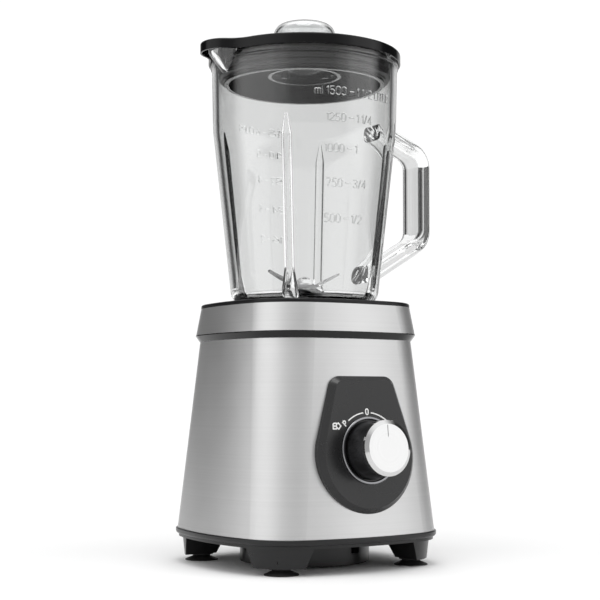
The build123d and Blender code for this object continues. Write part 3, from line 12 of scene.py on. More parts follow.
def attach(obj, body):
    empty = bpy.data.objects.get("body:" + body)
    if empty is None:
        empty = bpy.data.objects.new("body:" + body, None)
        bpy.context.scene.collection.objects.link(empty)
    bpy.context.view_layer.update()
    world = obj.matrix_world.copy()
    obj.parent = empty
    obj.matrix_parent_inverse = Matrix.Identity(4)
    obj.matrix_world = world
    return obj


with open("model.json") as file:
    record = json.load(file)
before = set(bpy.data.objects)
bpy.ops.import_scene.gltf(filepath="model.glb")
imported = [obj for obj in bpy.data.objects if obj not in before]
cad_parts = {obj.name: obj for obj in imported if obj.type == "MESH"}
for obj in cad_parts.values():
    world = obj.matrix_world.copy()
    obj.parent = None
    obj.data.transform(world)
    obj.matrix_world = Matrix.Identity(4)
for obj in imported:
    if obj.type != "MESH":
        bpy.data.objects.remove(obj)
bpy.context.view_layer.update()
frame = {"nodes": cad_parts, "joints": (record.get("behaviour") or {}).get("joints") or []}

bl_info = {
    "name": "Countertop blender finishes",
    "version": (1, 0, 0),
    "blender": (4, 5, 0),
    "location": "3D View > Sidebar > Blender",
    "description": "Finishes and markings of a countertop blender, with a small studio",
    "category": "Object",
}

BLACK = (0.004, 0.004, 0.0045)
WHITE_INK = (0.86, 0.86, 0.85)
GLASS_IOR = 1.52
CLEAR_PLASTIC_IOR = 1.49


# ================================================================ what the frame says
def joint(name):
    """The frame's joint of that name."""
    return next(entry for entry in frame["joints"] if entry["name"] == name)


def knob_frame():
    """The knob's axis as a matrix: Z points out of the panel, Y up its face, origin on the axis."""
    turning = joint("knob_turn")
    outward = Vector(turning["axis"]).normalized()
    across = Vector((0, 0, 1)).cross(outward).normalized()
    upward = outward.cross(across)
    turn = Matrix((across, upward, outward)).transposed().to_4x4()
    return Matrix.Translation(Vector(turning["pos_m"])) @ turn


def height_over(node, axes):
    """How far a CAD node reaches along the Z axis of a local frame."""
    to_local = axes.inverted()
    return max((to_local @ v.co).z for v in frame["nodes"][node].data.vertices)


# ================================================================ settings
def tone(label, about, value):
    """A colour setting."""
    return FloatVectorProperty(
        name=label, description=about, default=value, size=3, min=0, max=1, subtype="COLOR"
    )


def length(label, about, value):
    """A length setting, in metres."""
    return FloatProperty(name=label, description=about, default=value, min=0, unit="LENGTH")


def angle(label, about, value):
    """An angle setting, given in degrees and kept in radians."""
    return FloatProperty(name=label, description=about, default=radians(value), subtype="ANGLE")


def share(label, about, value):
    """A setting from 0 to 1."""
    return FloatProperty(
        name=label, description=about, default=value, min=0, max=1, subtype="FACTOR"
    )


class StudioSettings(bpy.types.PropertyGroup):
    """Floor, light and camera."""

    floor_tone: tone("Floor", "Colour of the floor", (0.9, 0.9, 0.9))
    floor_radius: length("Floor radius", "Radius of the round floor", 40.0)
    floor_near: length("Near floor", "Where the floor starts to fade into the backdrop", 0.20)
    floor_far: length("Far floor", "Where the floor has become the backdrop", 0.60)
    backdrop: FloatProperty(name="Backdrop", description="Light of the backdrop", default=1.05)
    ceiling: FloatProperty(name="Ceiling", description="Light from straight above", default=1.30)
    ceiling_low: share("Ceiling from", "Sine of the height where the ceiling starts", 0.55)
    ceiling_high: share("Ceiling to", "Sine of the height where it is fully there", 0.90)
    overhead_power: FloatProperty(
        name="Overhead power", description="Power of the large softbox", default=7, unit="POWER"
    )
    overhead_size: length("Overhead size", "Side of the large softbox", 0.9)
    overhead_height: length("Overhead height", "Height of the large softbox", 1.5)
    overhead_forward: length("Overhead forward", "How far it stands to the camera's side", 0.45)
    camera_turn: angle("Camera turn", "Camera round the object, from the front", -33.5)
    camera_tilt: angle("Camera tilt", "Camera above the level", 2.36)
    camera_height: length("Camera height", "Height of the camera", 0.1186)
    camera_distance: length("Camera distance", "Camera to the drive axis", 1.0109)
    camera_lens: FloatProperty(
        name="Lens", description="Focal length", default=82.74, unit="CAMERA"
    )
    shift_x: FloatProperty(name="Shift X", description="Sideways shift", default=-0.0075)
    shift_y: FloatProperty(name="Shift Y", description="Upward shift", default=0.07)


class SteelSettings(bpy.types.PropertyGroup):
    """Brushed sheet steel."""

    tint: tone("Steel", "Colour of the steel", (0.60, 0.60, 0.60))
    roughness: share("Roughness", "Roughness across the brushing", 0.42)
    line_pitch: length("Line pitch", "Mean distance between brushing lines", 0.00025)
    line_contrast: share("Line contrast", "How much the lines change the tone", 0.04)


class PlasticSettings(bpy.types.PropertyGroup):
    """Moulded plastics and rubber of the base."""

    black: tone("Black", "Colour of the black mouldings", BLACK)
    panel: tone("Panel", "Colour of the control panel", (0.011, 0.011, 0.0115))
    rubber: tone("Rubber", "Colour of feet and seals", (0.012, 0.012, 0.012))
    grain: length("Grain", "Size of the moulded grain", 0.0005)


class DialSettings(bpy.types.PropertyGroup):
    """Printing round the knob."""

    ink: tone("Ink", "Colour of the printing", WHITE_INK)
    radius: length("Radius", "Radius of the printed arc", 0.026)
    stroke: length("Stroke", "Width of the printed lines", 0.0009)
    height: length("Height", "Height of the figures", 0.0038)
    proud: length("Thickness", "Thickness of the ink", 0.00005)
    pulse_turn: angle("Pulse", "Where the P stands", 45)
    step: angle("Step", "Turn between speed positions", 45)


class GlassSettings(bpy.types.PropertyGroup):
    """Glass jug and its raised scale."""

    tint: tone("Glass", "Colour of the glass", (0.985, 0.99, 0.988))
    ripple: share("Ripple", "Waviness of the pressed glass", 0.09)
    ripples: FloatProperty(name="Ripples", description="Waves in each metre", default=22.0)
    mark_height: length("Mark height", "Height of the scale's figures", 0.0056)
    mark_stroke: length("Mark stroke", "Radius of the raised lines", 0.00040)
    mark_proud: length("Mark proud", "How far the lines' middles stand off the glass", 0.00010)
    dash_turn: angle("Dash turn", "Where the scale's dashes stand", -4.4)


class LidSettings(bpy.types.PropertyGroup):
    """Lid, seal and measuring cap."""

    black: tone("Lid", "Colour of the lid", (0.003, 0.003, 0.0033))
    cap: tone("Cap", "Colour of the measuring cap", (0.93, 0.94, 0.94))
    cap_frost: share("Frost", "Roughness of the measuring cap", 0.05)
    cap_ripple: share("Cap ripple", "Waviness of the measuring cap", 0.05)
    cap_ripples: FloatProperty(name="Cap ripples", description="Waves in each metre", default=60.0)


class MotorSettings(bpy.types.PropertyGroup):
    """Motor and drive, inside the base."""

    copper: tone("Copper", "Colour of the windings", (0.72, 0.30, 0.14))
    lamination: length("Lamination", "Thickness of one core sheet", 0.0005)
    wire: length("Wire", "Diameter of the winding wire", 0.0006)


SETTINGS = {
    "jb_studio": StudioSettings,
    "jb_steel": SteelSettings,
    "jb_plastic": PlasticSettings,
    "jb_dial": DialSettings,
    "jb_glass": GlassSettings,
    "jb_lid": LidSettings,
    "jb_motor": MotorSettings,
}


# ================================================================ shader helpers
def add(tree, kind, links=(), **settings):
    """A node of that kind, with its settings, its input values and its incoming links.

    A setting whose name isn't the node's own is the value of the input of that name, and links is
    a list of (input name, output socket).
    """
    node = tree.nodes.new("ShaderNode" + kind)
    for name, value in settings.items():
        if hasattr(node, name):
            setattr(node, name, value)
        else:
            node.inputs[name.replace("_", " ")].default_value = value
    for name, socket in links:
        tree.links.new(socket, node.inputs[name])
    return node


def lay_out(tree, spacing=220):
    """Spreads the nodes of a tree out in the order in which they were made."""
    for i, node in enumerate(tree.nodes):
        node.location = (i * spacing, -(i % 3) * 160)


def new_group(name, inputs, outputs):
    """An empty shader group with its sockets: (group, group input node, group output node)."""
    group = bpy.data.node_groups.new(name, "ShaderNodeTree")
    for label, kind, value in inputs:
        socket = group.interface.new_socket(label, in_out="INPUT", socket_type=kind)
        if value is not None:
            socket.default_value = value
    for label, kind in outputs:
        group.interface.new_socket(label, in_out="OUTPUT", socket_type=kind)
    return group, group.nodes.new("NodeGroupInput"), group.nodes.new("NodeGroupOutput")


FLOAT, COLOUR, VECTOR = "NodeSocketFloat", "NodeSocketColor", "NodeSocketVector"


def moulded_grain():
    """Fine pebbled grain of a mould, with a slower waviness under it."""
    group, start, end = new_group(
        "moulded_grain",
        [("Place", VECTOR, None), ("Size", FLOAT, 0.0005), ("Waves", FLOAT, 0.3)],
        [("Height", FLOAT)],
    )
    inverse = add(group, "Math", [(1, start.outputs["Size"])], operation="DIVIDE")
    inverse.inputs[0].default_value = 1.0
    cells = add(
        group,
        "TexVoronoi",
        [("Vector", start.outputs["Place"]), ("Scale", inverse.outputs[0])],
        feature="SMOOTH_F1",
    )
    slow = add(group, "TexNoise", [("Vector", start.outputs["Place"])], Scale=60.0, Detail=2.0)
    waves = add(
        group, "Math", [(0, slow.outputs["Fac"]), (1, start.outputs["Waves"])], operation="MULTIPLY"
    )
    total = add(group, "Math", [(0, cells.outputs["Distance"]), (1, waves.outputs[0])])
    group.links.new(total.outputs[0], end.inputs["Height"])
    lay_out(group)
    return group


def drawn_lines():
    """Fine brushing along one direction: Place is stretched by the material that uses it."""
    group, start, end = new_group(
        "drawn_lines",
        [("Place", VECTOR, None), ("Contrast", FLOAT, 0.1)],
        [("Height", FLOAT), ("Tone", FLOAT)],
    )
    fine = add(
        group, "TexNoise", [("Vector", start.outputs["Place"])], Scale=1.0, Detail=3.0,
        Roughness=0.7,
    )
    broad = add(
        group, "TexNoise", [("Vector", start.outputs["Place"])], Scale=0.13, Detail=2.0,
    )
    both = add(
        group, "Math", [(0, fine.outputs["Fac"]), (1, broad.outputs["Fac"])], operation="ADD"
    )
    tone_range = add(
        group,
        "MapRange",
        [("Value", both.outputs[0])],
        From_Min=0.6,
        From_Max=1.4,
    )
    low = add(
        group, "Math", [(1, start.outputs["Contrast"])], operation="SUBTRACT"
    )
    low.inputs[0].default_value = 1.0
    high = add(group, "Math", [(1, start.outputs["Contrast"])], operation="ADD")
    high.inputs[0].default_value = 1.0
    group.links.new(low.outputs[0], tone_range.inputs["To Min"])
    group.links.new(high.outputs[0], tone_range.inputs["To Max"])
    group.links.new(both.outputs[0], end.inputs["Height"])
    group.links.new(tone_range.outputs[0], end.inputs["Tone"])
    lay_out(group)
    return group


def toned():
    """A colour that a tone lightens and darkens, with slow drift over the surface."""
    group, start, end = new_group(
        "toned",
        [
            ("Place", VECTOR, None),
            ("Colour", COLOUR, (0.5, 0.5, 0.5, 1)),
            ("Tone", FLOAT, 1.0),
            ("Drift", FLOAT, 0.1),
            ("Drift Scale", FLOAT, 25.0),
        ],
        [("Colour", COLOUR)],
    )
    slow = add(
        group,
        "TexNoise",
        [("Vector", start.outputs["Place"]), ("Scale", start.outputs["Drift Scale"])],
        Detail=3.0,
    )
    centred = add(group, "Math", [(0, slow.outputs["Fac"])], operation="SUBTRACT")
    centred.inputs[1].default_value = 0.5
    drift = add(
        group,
        "Math",
        [(0, centred.outputs[0]), (1, start.outputs["Drift"]), (2, start.outputs["Tone"])],
        operation="MULTIPLY_ADD",
    )
    scaled = add(
        group,
        "VectorMath",
        [(0, start.outputs["Colour"]), ("Scale", drift.outputs[0])],
        operation="SCALE",
    )
    group.links.new(scaled.outputs[0], end.inputs["Colour"])
    lay_out(group)
    return group


def handled_gloss():
    """Roughness that varies a little where a surface was wiped and handled."""
    group, start, end = new_group(
        "handled_gloss",
        [("Place", VECTOR, None), ("Roughness", FLOAT, 0.4), ("Spread", FLOAT, 0.1)],
        [("Roughness", FLOAT)],
    )
    slow = add(
        group, "TexNoise", [("Vector", start.outputs["Place"])], Scale=38.0, Detail=4.0
    )
    centred = add(group, "Math", [(0, slow.outputs["Fac"])], operation="SUBTRACT")
    centred.inputs[1].default_value = 0.5
    total = add(
        group,
        "Math",
        [(0, centred.outputs[0]), (1, start.outputs["Spread"]), (2, start.outputs["Roughness"])],
        operation="MULTIPLY_ADD",
        use_clamp=True,
    )
    group.links.new(total.outputs[0], end.inputs["Roughness"])
    lay_out(group)
    return group


def groups():
    """The shared shader groups, made once."""
    makers = (moulded_grain, drawn_lines, toned, handled_gloss)
    return {
        maker.__name__: bpy.data.node_groups.get(maker.__name__) or maker() for maker in makers
    }


def place(tree, scale=None, axes=None):
    """The object's own coordinates, turned into a local frame if one is given, then scaled."""
    socket = add(tree, "TexCoord").outputs["Object"]
    if axes is not None:
        inward = axes.inverted()
        moved = add(tree, "Mapping", [("Vector", socket)])
        moved.inputs["Location"].default_value = inward.to_translation()
        moved.inputs["Rotation"].default_value = inward.to_euler()
        socket = moved.outputs[0]
    if scale is not None:
        stretched = add(tree, "Mapping", [("Vector", socket)])
        stretched.inputs["Scale"].default_value = scale
        socket = stretched.outputs[0]
    return socket


def use(tree, name, links=(), **values):
    """One shared group placed in a material, with its own values."""
    node = tree.nodes.new("ShaderNodeGroup")
    node.node_tree = groups()[name]
    for label, value in values.items():
        node.inputs[label.replace("_", " ")].default_value = value
    for label, socket in links:
        tree.links.new(socket, node.inputs[label])
    return node


def blank(name):
    """A new material: (material, its tree, its Principled shader)."""
    material = bpy.data.materials.new(name)
    material.use_nodes = True
    tree = material.node_tree
    tree.nodes.clear()
    shader = add(tree, "BsdfPrincipled")
    out = add(tree, "OutputMaterial")
    tree.links.new(shader.outputs[0], out.inputs["Surface"])
    return material, tree, shader


def set_values(shader, **values):
    """Plain values on the shader's own sockets."""
    for label, value in values.items():
        shader.inputs[label.replace("_", " ")].default_value = value


def rgba(colour):
    """A colour with full alpha."""
    return (*colour, 1.0)


def raise_surface(tree, shader, height, distance, strength=1.0):
    """Bumps the shader's normal by a height."""
    bump = add(tree, "Bump", [("Height", height)], Distance=distance, Strength=strength)
    tree.links.new(bump.outputs[0], shader.inputs["Normal"])


def moulded(
    name, colour, roughness, grain=0.0005, depth=0.00002, drift=0.12, shine=0.5, spread=0.1
):
    """A moulded plastic or rubber: drifting colour, uneven gloss and a fine grain."""
    material, tree, shader = blank(name)
    where = place(tree)
    paint = use(tree, "toned", [("Place", where)], Colour=rgba(colour), Drift=drift)
    gloss = use(tree, "handled_gloss", [("Place", where)], Roughness=roughness, Spread=spread)
    pebbles = use(tree, "moulded_grain", [("Place", where)], Size=grain)
    tree.links.new(paint.outputs[0], shader.inputs["Base Color"])
    tree.links.new(gloss.outputs[0], shader.inputs["Roughness"])
    raise_surface(tree, shader, pebbles.outputs[0], depth)
    set_values(shader, Specular_IOR_Level=shine)
    lay_out(tree)
    return material


def drawn(name, colour, roughness, scale, axes=None, contrast=0.1, depth=0.000004):
    """A brushed, drawn or turned metal: scale stretches the lines along the working direction."""
    material, tree, shader = blank(name)
    where = place(tree)
    lines = use(tree, "drawn_lines", [("Place", place(tree, scale, axes))], Contrast=contrast)
    paint = use(
        tree,
        "toned",
        [("Place", where), ("Tone", lines.outputs["Tone"])],
        Colour=rgba(colour),
        Drift=0.06,
    )
    gloss = use(tree, "handled_gloss", [("Place", where)], Roughness=roughness, Spread=0.08)
    tree.links.new(paint.outputs[0], shader.inputs["Base Color"])
    tree.links.new(gloss.outputs[0], shader.inputs["Roughness"])
    raise_surface(tree, shader, lines.outputs["Height"], depth)
    set_values(shader, Metallic=1.0)
    lay_out(tree)
    return material


def turned_face(name, colour, roughness, axes, pitch, contrast=0.06, depth=0.000003):
    """Metal faced on a lathe: fine rings round the Z axis of a local frame."""
    material, tree, shader = blank(name)
    local = place(tree, axes=axes)
    parts = add(tree, "SeparateXYZ", [("Vector", local)])
    flat = add(tree, "CombineXYZ", [("X", parts.outputs[0]), ("Y", parts.outputs[1])])
    radius = add(tree, "VectorMath", [(0, flat.outputs[0])], operation="LENGTH")
    rings = add(tree, "Math", [(0, radius.outputs["Value"])], operation="DIVIDE")
    rings.inputs[1].default_value = pitch
    where = add(tree, "CombineXYZ", [("X", rings.outputs[0])])
    lines = use(tree, "drawn_lines", [("Place", where.outputs[0])], Contrast=contrast)
    paint = use(
        tree,
        "toned",
        [("Place", local), ("Tone", lines.outputs["Tone"])],
        Colour=rgba(colour),
        Drift=0.04,
    )
    gloss = use(tree, "handled_gloss", [("Place", local)], Roughness=roughness, Spread=0.06)
    tree.links.new(paint.outputs[0], shader.inputs["Base Color"])
    tree.links.new(gloss.outputs[0], shader.inputs["Roughness"])
    raise_surface(tree, shader, lines.outputs["Height"], depth)
    set_values(shader, Metallic=1.0)
    lay_out(tree)
    return material


def layered(name, colour, roughness, pitch, direction, depth, metallic=1.0, contrast=0.25):
    """Stacked sheets or wound wire: regular lines of that pitch across a direction."""
    material, tree, shader = blank(name)
    where = place(tree)
    bands = add(
        tree,
        "TexWave",
        [("Vector", where)],
        bands_direction=direction,
        wave_profile="SIN",
        Scale=1 / pitch / pi * 0.5,
        Distortion=0.6,
        Detail=1.0,
    )
    shade = add(tree, "MapRange", [("Value", bands.outputs["Fac"])])
    shade.inputs["To Min"].default_value = 1.0 - contrast
    shade.inputs["To Max"].default_value = 1.0 + contrast
    paint = use(
        tree,
        "toned",
        [("Place", where), ("Tone", shade.outputs[0])],
        Colour=rgba(colour),
        Drift=0.15,
    )
    gloss = use(tree, "handled_gloss", [("Place", where)], Roughness=roughness, Spread=0.15)
    tree.links.new(paint.outputs[0], shader.inputs["Base Color"])
    tree.links.new(gloss.outputs[0], shader.inputs["Roughness"])
    raise_surface(tree, shader, bands.outputs["Fac"], depth)
    set_values(shader, Metallic=metallic)
    lay_out(tree)
    return material


def clear(name, tint, roughness, ior, ripple, ripple_scale):
    """Clear glass or plastic with the soft waviness of its mould."""
    material, tree, shader = blank(name)
    where = place(tree)
    waves = add(tree, "TexNoise", [("Vector", where)], Scale=ripple_scale, Detail=1.0)
    raise_surface(tree, shader, waves.outputs["Fac"], 0.001, ripple)
    set_values(
        shader,
        Base_Color=rgba(tint),
        Roughness=roughness,
        IOR=ior,
        Transmission_Weight=1.0,
    )
    lay_out(tree)
    return material


def finish(material, *nodes):
    """Gives CAD nodes their material."""
    for name in nodes:
        for holder in frame["nodes"][name].material_slots:
            holder.material = material


# ================================================================ single-line figures
def arc(x, y, across, up, start, end, steps=12):
    """Points on an ellipse from start to end, in degrees."""
    turns = [radians(start + (end - start) * i / steps) for i in range(steps + 1)]
    return [(x + across * cos(t), y + up * sin(t)) for t in turns]


# Each figure: its width, then its strokes. The height of a capital is 1.
FIGURES = {
    "0": (0.56, [arc(0.28, 0.72, 0.28, 0.28, 180, 0) + arc(0.28, 0.28, 0.28, 0.28, 0, -180)
                 + [(0.0, 0.72)]]),
    "1": (0.20, [[(0.0, 0.80), (0.20, 1.0), (0.20, 0.0)]]),
    "2": (0.56, [arc(0.28, 0.72, 0.28, 0.28, 170, -38) + [(0.0, 0.0), (0.56, 0.0)]]),
    "3": (0.56, [arc(0.27, 0.76, 0.25, 0.24, 160, -90) + arc(0.28, 0.26, 0.28, 0.26, 90, -160)]),
    "4": (0.58, [[(0.44, 0.0), (0.44, 1.0), (0.0, 0.28), (0.58, 0.28)]]),
    "5": (0.56, [[(0.52, 1.0), (0.08, 1.0), (0.04, 0.56)]
                 + arc(0.26, 0.31, 0.30, 0.31, 115, -150)]),
    "6": (0.56, [[(0.44, 1.0), (0.05, 0.42)] + arc(0.28, 0.29, 0.28, 0.29, 160, -200, 18)]),
    "7": (0.54, [[(0.0, 1.0), (0.54, 1.0), (0.18, 0.0)]]),
    "8": (0.56, [arc(0.28, 0.76, 0.23, 0.24, -90, 270, 18),
                 arc(0.28, 0.26, 0.28, 0.26, 90, -270, 18)]),
    "/": (0.36, [[(0.0, -0.04), (0.36, 1.04)]]),
    "m": (0.72, [[(0.0, 0.0), (0.0, 0.70)],
                 arc(0.18, 0.50, 0.18, 0.18, 180, 0) + [(0.36, 0.0)],
                 arc(0.54, 0.50, 0.18, 0.18, 180, 0) + [(0.72, 0.0)]]),
    "l": (0.02, [[(0.01, 0.0), (0.01, 1.0)]]),
    "o": (0.48, [arc(0.24, 0.34, 0.24, 0.34, 90, -270, 18)]),
    "z": (0.44, [[(0.0, 0.68), (0.44, 0.68), (0.0, 0.0), (0.44, 0.0)]]),
    "C": (0.58, [arc(0.31, 0.69, 0.31, 0.31, 25, 180) + arc(0.31, 0.31, 0.31, 0.31, 180, 335)]),
    "E": (0.48, [[(0.48, 1.0), (0.0, 1.0), (0.0, 0.0), (0.48, 0.0)], [(0.0, 0.52), (0.42, 0.52)]]),
    "I": (0.02, [[(0.01, 0.0), (0.01, 1.0)]]),
    "L": (0.46, [[(0.0, 1.0), (0.0, 0.0), (0.46, 0.0)]]),
    "P": (0.52, [[(0.0, 0.0), (0.0, 1.0), (0.26, 1.0)] + arc(0.26, 0.74, 0.26, 0.26, 90, -90)
                 + [(0.0, 0.48)]]),
    "R": (0.54, [[(0.0, 0.0), (0.0, 1.0), (0.26, 1.0)] + arc(0.26, 0.75, 0.25, 0.25, 90, -90)
                 + [(0.0, 0.50)], [(0.26, 0.50), (0.54, 0.0)]]),
    "S": (0.54, [arc(0.27, 0.75, 0.25, 0.25, 30, 270) + arc(0.27, 0.25, 0.27, 0.25, 90, -150)]),
    "T": (0.56, [[(0.0, 1.0), (0.56, 1.0)], [(0.28, 1.0), (0.28, 0.0)]]),
    "U": (0.56, [[(0.0, 1.0), (0.0, 0.28)] + arc(0.28, 0.28, 0.28, 0.28, 180, 360)
                 + [(0.56, 1.0)]]),
}
LETTER_GAP = 0.22
WORD_GAP = 0.55


def written(text, height):
    """The strokes of a line of text that starts at the origin, and its width."""
    strokes = []
    x = 0.0
    for letter in text:
        if letter == " ":
            x += WORD_GAP - LETTER_GAP
            continue
        width, lines = FIGURES[letter]
        strokes += [[((x + u) * height, v * height) for u, v in line] for line in lines]
        x += width + LETTER_GAP
    return strokes, (x - LETTER_GAP) * height


def shifted(strokes, x, y):
    """Strokes moved in their plane."""
    return [[(u + x, v + y) for u, v in line] for line in strokes]


# ================================================================ mesh helpers
def new_object(name, data, material, body):
    """Links a new piece, gives it its material and lets it ride on a body."""
    data.materials.append(material)
    piece = bpy.data.objects.new(name, data)
    bpy.context.scene.collection.objects.link(piece)
    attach(piece, body)
    return piece


def ribbon(line, width):
    """Left and right edge points of a flat stroke that follows a line, mitred at its corners."""
    points = [Vector(point) for point in line]
    closed = (points[0] - points[-1]).length < 1e-9
    if closed:
        points = points[:-1]
    left, right = [], []
    count = len(points)
    for i, point in enumerate(points):
        before = points[i - 1] if closed or i > 0 else None
        after = points[(i + 1) % count] if closed or i < count - 1 else None
        steps = [(point - before).normalized()] if before is not None else []
        steps += [(after - point).normalized()] if after is not None else []
        along = sum(steps, Vector((0, 0))).normalized()
        side = Vector((-along.y, along.x))
        reach = width / 2 / max(0.35, side.dot(Vector((-steps[0].y, steps[0].x))))
        left.append(point + side * reach)
        right.append(point - side * reach)
    return left, right, closed


def printed(name, lines, width, thickness, to_world, material, body):
    """A thin printed layer: each line becomes a flat ribbon with a top, sides and underside."""
    verts, faces = [], []
    for line in lines:
        left, right, closed = ribbon(line, width)
        start = len(verts)
        for a, b in zip(left, right):
            verts += [(*a, 0), (*b, 0), (*b, thickness), (*a, thickness)]
        count = len(left)
        for i in range(count if closed else count - 1):
            here, there = start + 4 * i, start + 4 * ((i + 1) % count)
            for k in range(4):
                faces.append((here + k, here + (k + 1) % 4, there + (k + 1) % 4, there + k))
        if not closed:
            last = start + 4 * (count - 1)
            faces.append((start + 3, start + 2, start + 1, start))
            faces.append((last, last + 1, last + 2, last + 3))
    mesh = bpy.data.meshes.new(name)
    mesh.from_pydata([to_world @ Vector(v) for v in verts], [], faces)
    mesh.update()
    return new_object(name, mesh, material, body)


def raised(name, paths, radius, material, body):
    """Raised lines: round cords that follow paths in space, half sunk where the paths lie."""
    curve = bpy.data.curves.new(name, "CURVE")
    curve.dimensions = "3D"
    curve.bevel_depth = radius
    curve.bevel_resolution = 2
    curve.use_fill_caps = True
    for path in paths:
        spline = curve.splines.new("POLY")
        spline.points.add(len(path) - 1)
        for target, point in zip(spline.points, path):
            target.co = (*point, 1.0)
    return new_object(name, curve, material, body)


# ================================================================ operators
class PieceOperator(bpy.types.Operator):
    """Base of the operators below: one undoable step."""

    bl_options = {"REGISTER", "UNDO"}


class JB_OT_stage(PieceOperator):
    """Floor, studio light and camera"""

    bl_idname = "jb.stage"
    bl_label = "Studio"

    def execute(self, context):
        settings = context.scene.jb_studio
        self.make_floor(settings)
        self.make_world(context, settings)
        self.make_overhead(context, settings)
        self.make_camera(context, settings)
        return {"FINISHED"}

    def make_floor(self, settings):
        """A round floor, one flat face."""
        steps = 96
        ring = [
            (settings.floor_radius * cos(2 * pi * i / steps),
             settings.floor_radius * sin(2 * pi * i / steps), 0)
            for i in range(steps)
        ]
        mesh = bpy.data.meshes.new("floor")
        mesh.from_pydata(ring, [], [tuple(range(steps))])
        material, tree, shader = blank("pale_floor")
        where = place(tree)
        reach = add(tree, "VectorMath", [(0, where)], operation="LENGTH")
        fade = add(
            tree,
            "MapRange",
            [("Value", reach.outputs["Value"])],
            interpolation_type="SMOOTHSTEP",
            From_Min=settings.floor_near,
            From_Max=settings.floor_far,
        )
        near = add(tree, "Math", [(1, fade.outputs[0])], operation="SUBTRACT")
        near.inputs[0].default_value = 1.0
        paint = use(
            tree,
            "toned",
            [("Place", where), ("Tone", near.outputs[0])],
            Colour=rgba(settings.floor_tone),
            Drift=0.0,
        )
        tree.links.new(paint.outputs[0], shader.inputs["Base Color"])
        tree.links.new(fade.outputs[0], shader.inputs["Emission Color"])
        set_values(
            shader, Roughness=0.9, Specular_IOR_Level=0.1, Emission_Strength=settings.backdrop
        )
        lay_out(tree)
        mesh.materials.append(material)
        floor = bpy.data.objects.new("floor", mesh)
        bpy.context.scene.collection.objects.link(floor)

    def make_world(self, context, settings):
        """Upright softboxes and dark gaps round the object, with a white backdrop."""
        world = bpy.data.worlds.new("studio")
        context.scene.world = world
        world.use_nodes = True
        tree = world.node_tree
        tree.nodes.clear()
        toward = add(tree, "TexCoord").outputs["Generated"]
        turned = add(tree, "Mapping", [("Vector", toward)], vector_type="POINT")
        turned.inputs["Rotation"].default_value = (0, 0, -settings.camera_turn)
        parts = add(tree, "SeparateXYZ", [("Vector", turned.outputs[0])])
        away = add(tree, "Math", [(0, parts.outputs["Y"])], operation="MULTIPLY")
        away.inputs[1].default_value = -1.0
        around = add(
            tree, "Math", [(0, parts.outputs["X"]), (1, away.outputs[0])], operation="ARCTAN2"
        )
        share_round = add(tree, "Math", [(0, around.outputs[0])], operation="MULTIPLY_ADD")
        share_round.inputs[1].default_value = 1 / (2 * pi)
        share_round.inputs[2].default_value = 0.5
        ramp = add(tree, "ValToRGB", [("Fac", share_round.outputs[0])])
        fill_ramp(ramp.color_ramp, WALL_OF_LIGHT)
        overhead = add(
            tree,
            "MapRange",
            [("Value", parts.outputs["Z"])],
            interpolation_type="SMOOTHSTEP",
            From_Min=settings.ceiling_low,
            From_Max=settings.ceiling_high,
        )
        ceiling = add(tree, "Mix", [("Factor", overhead.outputs[0])], data_type="RGBA")
        tree.links.new(ramp.outputs[0], ceiling.inputs[6])
        ceiling.inputs[7].default_value = rgba([settings.ceiling] * 3)
        seen = add(tree, "LightPath")
        backdrop = add(
            tree, "Mix", [("Factor", seen.outputs["Is Camera Ray"])], data_type="RGBA"
        )
        tree.links.new(ceiling.outputs[2], backdrop.inputs[6])
        backdrop.inputs[7].default_value = rgba([settings.backdrop] * 3)
        light = add(tree, "Background", [("Color", backdrop.outputs[2])])
        out = add(tree, "OutputWorld")
        tree.links.new(light.outputs[0], out.inputs["Surface"])
        lay_out(tree)

    def make_overhead(self, context, settings):
        """One large softbox over the object, a little to the camera's side."""
        data = bpy.data.lights.new("overhead", "AREA")
        data.shape = "DISK"
        data.size = settings.overhead_size
        data.energy = settings.overhead_power
        light = bpy.data.objects.new("overhead", data)
        turn = settings.camera_turn
        light.location = (
            settings.overhead_forward * sin(turn),
            -settings.overhead_forward * cos(turn),
            settings.overhead_height,
        )
        light.rotation_euler = (-light.location).to_track_quat("-Z", "Y").to_euler()
        context.scene.collection.objects.link(light)

    def make_camera(self, context, settings):
        """The camera, level with the middle of the base and tilted up a little."""
        data = bpy.data.cameras.new("camera")
        data.lens = settings.camera_lens
        data.sensor_width = 36
        data.shift_x = settings.shift_x
        data.shift_y = settings.shift_y
        data.clip_start = 0.05
        data.clip_end = 50
        camera = bpy.data.objects.new("camera", data)
        turn = settings.camera_turn
        camera.location = (
            settings.camera_distance * sin(turn),
            -settings.camera_distance * cos(turn),
            settings.camera_height,
        )
        camera.rotation_euler = (radians(90) + settings.camera_tilt, 0, turn)
        context.scene.collection.objects.link(camera)
        context.scene.camera = camera
        context.scene.view_settings.view_transform = "Standard"


# Brightness of the studio's wall, round from behind the object: degrees to the right of the
# camera, and the light there.
WALL_OF_LIGHT = (
    (-180, 0.70),
    (-156, 0.68),
    (-147, 0.06),
    (-101, 0.03),
    (-92, 0.90),
    (-80, 1.40),
    (-44, 1.40),
    (-32, 1.15),
    (-12, 0.66),
    (10, 0.55),
    (34, 0.52),
    (50, 0.90),
    (62, 1.50),
    (90, 1.50),
    (98, 0.90),
    (107, 0.05),
    (142, 0.03),
    (152, 0.50),
    (160, 0.72),
    (180, 0.70),
)


def fill_ramp(ramp, stops):
    """Sets a ramp's stops from (degrees, brightness)."""
    ramp.interpolation = "EASE"
    while len(ramp.elements) < len(stops):
        ramp.elements.new(1.0)
    for element, (turn, light) in zip(ramp.elements, stops):
        element.position = (turn + 180) / 360
        element.color = (light, light, light, 1)


